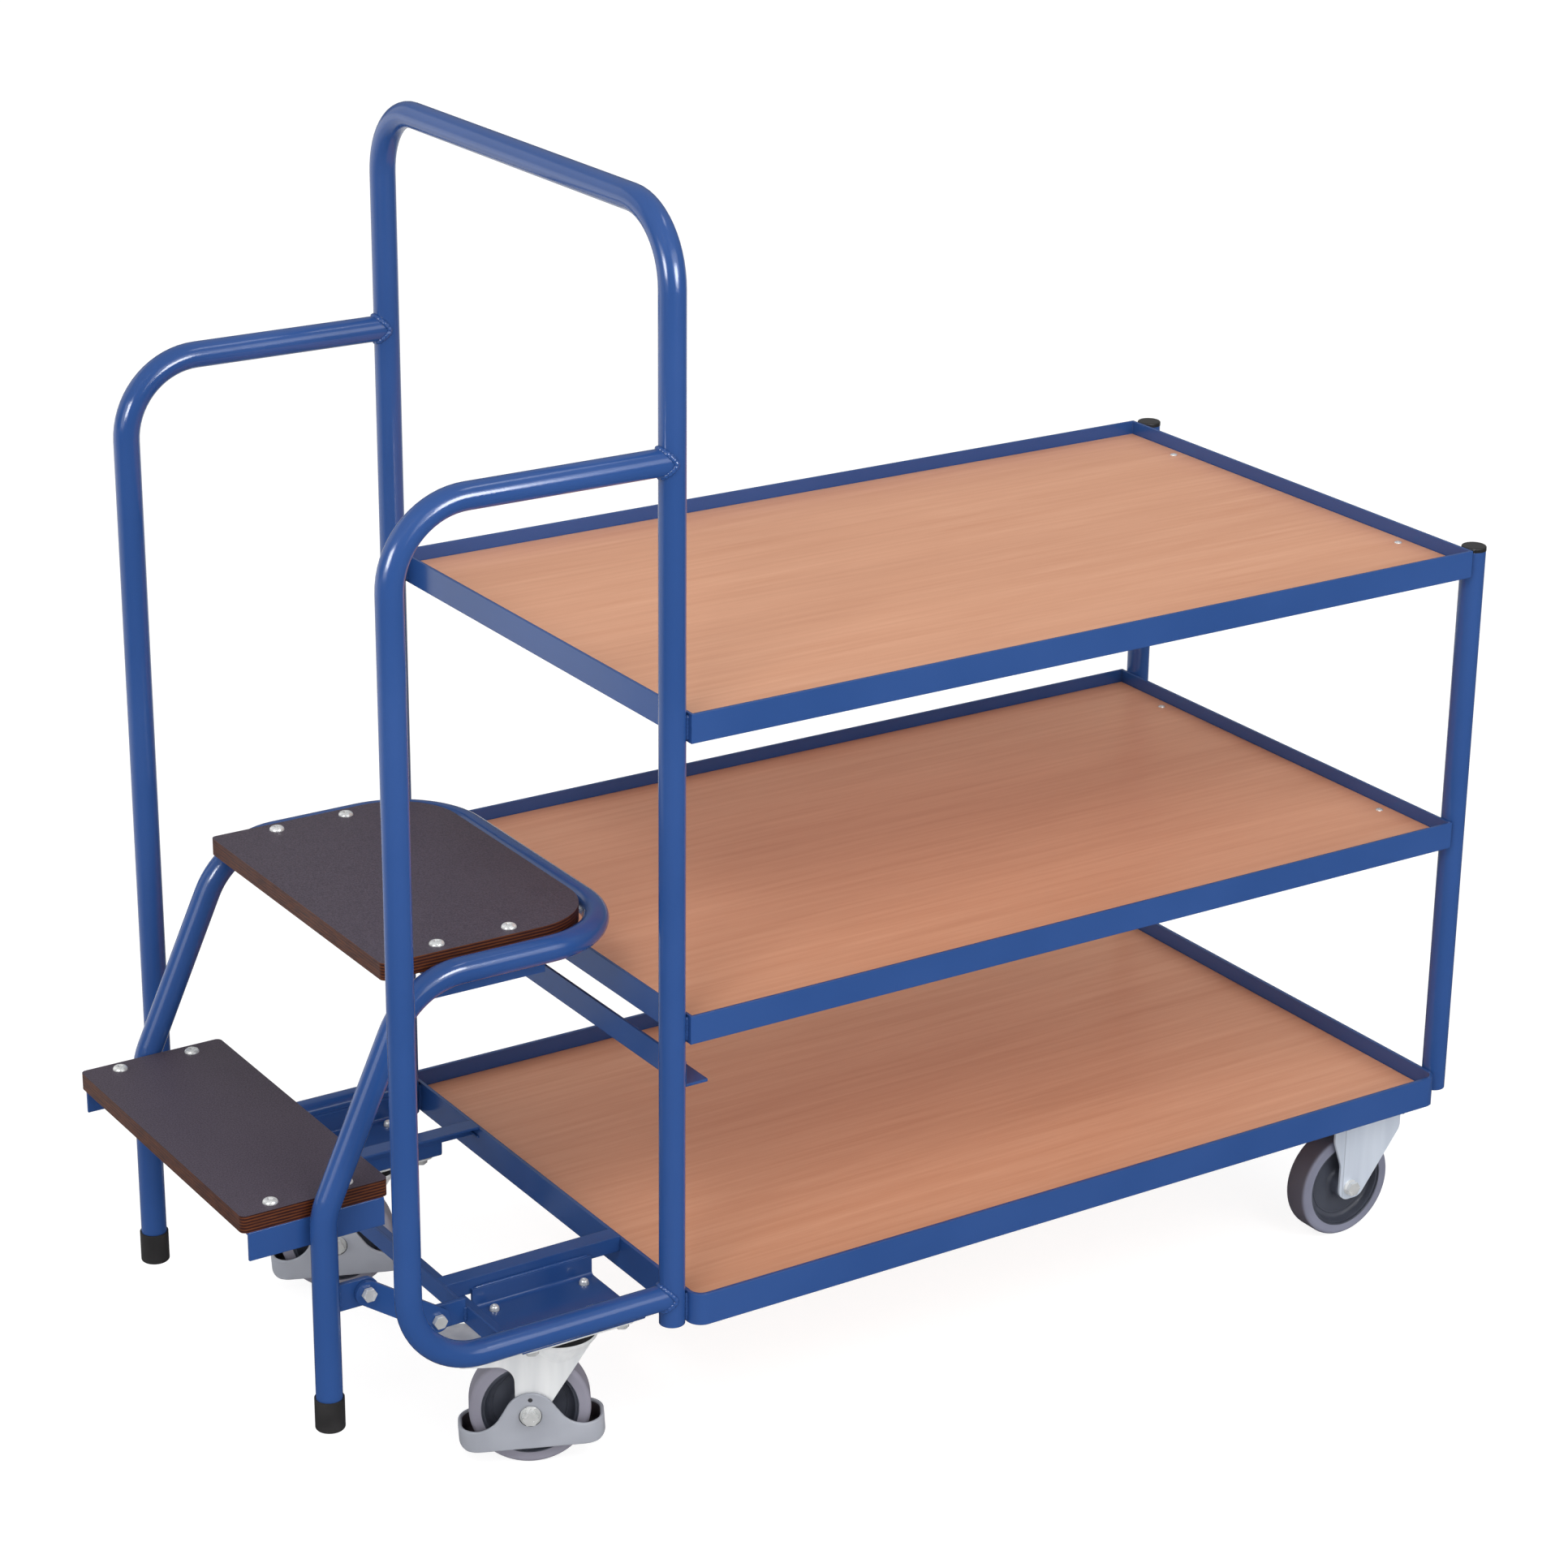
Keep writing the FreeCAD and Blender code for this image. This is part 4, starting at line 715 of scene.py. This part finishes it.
def film_ply():
    """Dark film with a fine speckle on the faces, and glued layers along the edges, where the
    layers stand out on the sides and nearly run together along the front."""
    material, tree, shader, place = new_material("film_ply")
    upright = add_node(tree, "SeparateXYZ", {"Vector": place.outputs["Normal"]})
    tilt = add_node(tree, "Math", {0: upright.outputs["Z"]}, operation="ABSOLUTE")
    face = add_node(tree, "Math", {0: tilt.outputs[0], 1: 0.5}, operation="GREATER_THAN")
    spot = add_node(tree, "SeparateXYZ", {"Vector": place.outputs["Object"]})
    cover = cover_with_skin(tree, place, grain=700.0, patch=(9.0, 9.0, 9.0))
    speckle = add_node(tree, "MapRange", {"Value": cover.outputs["Height"], "From Min": 0.3,
                                          "From Max": 0.7})
    film = blend_colours(tree, speckle.outputs["Result"], srgb(57, 50, 60), srgb(84, 75, 87))
    layer_pair = 0.0032
    layer = add_node(tree, "Math", {0: spot.outputs["Z"], 1: 2.0 * math.pi / layer_pair},
                     operation="MULTIPLY")
    wave = add_node(tree, "Math", {0: layer.outputs[0]}, operation="SINE")
    fibre_map = add_node(tree, "Mapping", {"Vector": place.outputs["Object"], "Scale": (60.0, 60.0, 900.0)})
    fibre = add_node(tree, "TexNoise", {"Vector": fibre_map.outputs["Vector"], "Scale": 1.0, "Detail": 5.0})
    sideways = add_node(tree, "Math", {0: upright.outputs["Y"]}, operation="ABSOLUTE")
    weight = add_node(tree, "MapRange", {"Value": sideways.outputs[0], "To Min": 0.1, "To Max": 0.36})
    mixed = add_node(tree, "Math", {0: wave.outputs[0], 1: weight.outputs["Result"],
                                    2: fibre.outputs["Fac"]}, operation="MULTIPLY_ADD")
    ply = add_node(tree, "MapRange", {"Value": mixed.outputs[0], "From Min": 0.3, "From Max": 0.9})
    edge = blend_colours(tree, ply.outputs["Result"], srgb(44, 12, 10), srgb(104, 54, 22))
    tree.links.new(blend_colours(tree, face.outputs[0], edge, film), shader.inputs["Base Color"])
    gloss = add_node(tree, "MapRange", {"Value": cover.outputs["Drift"], "To Min": 0.4, "To Max": 0.58})
    tree.links.new(gloss.outputs["Result"], shader.inputs["Roughness"])
    height = add_node(tree, "Bump", {"Height": cover.outputs["Height"], "Strength": 0.35,
                                     "Distance": 0.0004})
    tree.links.new(height.outputs["Normal"], shader.inputs["Normal"])
    shader.inputs["Specular IOR Level"].default_value = 0.3
    return material


film_plywood = film_ply()
paint(film_plywood, "upper_tread", "lower_tread")


def tread_screws():
    """Four domed screws in each tread, over the angles; places are from the tread's front edge."""
    head = dome(radius=0.0078, height=0.0036)
    for name, front, back, aside in (("upper_tread", 0.068, 0.148, 0.1755),
                                     ("lower_tread", 0.038, 0.119, 0.1765)):
        low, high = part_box(name)
        yield from (turned(head, (low[0] + reach, way * aside, high[2]), 28)
                    for reach in (front, back) for side, way in SIDES)


add_piece("tread_screws", list(tread_screws()), bright_zinc, "step")


# Studio: a wide pale floor, a white surround, soft lamps at the front and the left, a white card
# behind, small lamps that only the gloss shows, and the camera where the photographer stood.
def studio_floor():
    """White to the camera but for the part's shadow; in the gloss it is dark near by and brighter far behind,
    a painted shade on the floor in front of and round the part."""
    reach = 30.0
    corners = [(-reach, -reach, 0.0), (reach, -reach, 0.0), (reach, reach, 0.0), (-reach, reach, 0.0)]
    mesh = bpy.data.meshes.new("floor")
    mesh.from_pydata(corners, [], [(0, 1, 2, 3)])
    floor = bpy.data.objects.new("floor", mesh)
    bpy.context.scene.collection.objects.link(floor)
    material = bpy.data.materials.new("floor_paper")
    material.use_nodes = True
    tree = material.node_tree
    tree.nodes.clear()
    paper = add_node(tree, "BsdfDiffuse", {"Color": (0.85, 0.85, 0.85, 1.0)})
    place = add_node(tree, "TexCoord")
    spot = add_node(tree, "SeparateXYZ", {"Vector": place.outputs["Object"]})
    # Painted shade in the floor's reflection: dark near the part and in front of it, brighter far behind.
    depth = add_node(tree, "MapRange", {"Value": spot.outputs["Y"], "From Min": 0.1, "From Max": 1.4,
                                        "To Min": 0.1, "To Max": 0.8})
    glow = add_node(tree, "Emission", {"Color": (1.0, 1.0, 1.0, 1.0), "Strength": 1.24})
    mirrored = add_node(tree, "BsdfDiffuse", {"Color": depth.outputs["Result"]})
    path = add_node(tree, "LightPath")
    share = add_node(tree, "Math", {0: path.outputs["Is Camera Ray"], 1: 0.7}, operation="MULTIPLY")
    seen = add_node(tree, "MixShader", {0: share.outputs[0], 1: paper.outputs[0], 2: glow.outputs[0]})
    blend = add_node(tree, "MixShader", {0: path.outputs["Is Glossy Ray"], 1: seen.outputs[0],
                                         2: mirrored.outputs[0]})
    add_node(tree, "OutputMaterial", {"Surface": blend.outputs[0]})
    mesh.materials.append(material)


def looking(spot, aim, roll):
    """Matrix of something at spot that looks along its -Z at aim, its right side raised by roll."""
    ahead = (aim - spot) / np.linalg.norm(aim - spot)
    level = np.cross(ahead, (0.0, 0.0, 1.0))
    level = level / np.linalg.norm(level)
    upward = np.cross(level, ahead)
    right = math.cos(roll) * level + math.sin(roll) * upward
    top = math.cos(roll) * upward - math.sin(roll) * level
    turn = np.eye(4)
    turn[:3, :4] = np.stack([right, top, -ahead, spot], axis=1)
    return Matrix(turn.tolist())


def soft_lamp(name, spot, aim, width, height, power, lights=True, mirrors=True):
    """Rectangular lamp; lights says whether it lights surfaces, mirrors whether gloss shows it."""
    lamp = bpy.data.lights.new(name, "AREA")
    lamp.shape = "RECTANGLE"
    lamp.size = width
    lamp.size_y = height
    lamp.energy = power
    item = bpy.data.objects.new(name, lamp)
    bpy.context.scene.collection.objects.link(item)
    item.matrix_world = looking(np.array(spot), np.array(aim), 0.0)
    item.visible_diffuse = lights
    item.visible_glossy = mirrors


def surround():
    """White to the camera; its light comes more from the sides, its reflection more from overhead."""
    world = bpy.data.worlds.new("surround")
    bpy.context.scene.world = world
    world.use_nodes = True
    tree = world.node_tree
    tree.nodes.clear()
    way = add_node(tree, "TexCoord")
    climb = add_node(tree, "SeparateXYZ", {"Vector": way.outputs["Generated"]})
    sides = add_node(tree, "MapRange", {"Value": climb.outputs["Z"], "From Min": 0.0, "From Max": 0.9,
                                        "To Min": 0.85, "To Max": 0.75})
    mirrored = add_node(tree, "MapRange", {"Value": climb.outputs["Z"], "From Min": 0.0, "From Max": 0.7,
                                           "To Min": 0.12, "To Max": 0.5})
    path = add_node(tree, "LightPath")
    sky = add_node(tree, "Mix", {0: path.outputs["Is Glossy Ray"], 2: sides.outputs["Result"],
                                 3: mirrored.outputs["Result"]}, data_type="FLOAT")
    level = add_node(tree, "Mix", {0: path.outputs["Is Camera Ray"], 2: sky.outputs[0], 3: 1.0},
                     data_type="FLOAT")
    white = add_node(tree, "Background", {"Color": (1.0, 1.0, 1.0, 1.0), "Strength": level.outputs[0]})
    add_node(tree, "OutputWorld", {"Surface": white.outputs[0]})


studio_floor()
surround()
soft_lamp("key_lamp", (-2.8, -2.4, 4.2), (0.0, 0.0, 0.5), 1.3, 1.3, 60.0, mirrors=False)
soft_lamp("second_lamp", (0.3, -3.9, 4.3), (0.0, 0.0, 0.5), 1.1, 1.1, 40.0, mirrors=False)
soft_lamp("left_glint", (-1.75, -0.65, 1.38), (-0.5, 0.0, 0.95), 0.45, 0.4, 12.0, lights=False)
soft_lamp("right_glint", (-0.15, -1.32, 1.37), (-0.45, 0.0, 0.95), 0.45, 0.4, 12.0, lights=False)
soft_lamp("top_glint", (0.5, -0.8, 3.2), (-0.4, 0.0, 1.0), 0.7, 0.3, 3.0, lights=False)
soft_lamp("front_lamp", (0.9, -4.6, 2.7), (0.1, 0.0, 0.5), 4.0, 2.6, 70.0)
soft_lamp("side_lamp", (-4.6, -1.2, 1.9), (0.0, 0.0, 0.5), 2.4, 2.0, 30.0)
soft_lamp("white_card", (-2.0, 2.7, 1.5), (-0.2, 0.0, 1.1), 3.0, 3.0, 18.0)

heading, pitch, roll = math.radians(33.117), math.radians(21.119), math.radians(0.65)
stand = np.array([-2.1350, -3.2909, 2.1033])
ahead = np.array([math.sin(heading) * math.cos(pitch), math.cos(heading) * math.cos(pitch),
                  -math.sin(pitch)])
picture_width, focal_length = 1932.0, 4839.6
lens = bpy.data.cameras.new("camera")
lens.sensor_fit = "HORIZONTAL"
lens.sensor_width = 36.0
lens.lens = lens.sensor_width * focal_length / picture_width
camera = bpy.data.objects.new("camera", lens)
bpy.context.scene.collection.objects.link(camera)
camera.matrix_world = looking(stand, stand + ahead, roll)
bpy.context.scene.camera = camera
bpy.context.scene.view_settings.view_transform = "Standard"
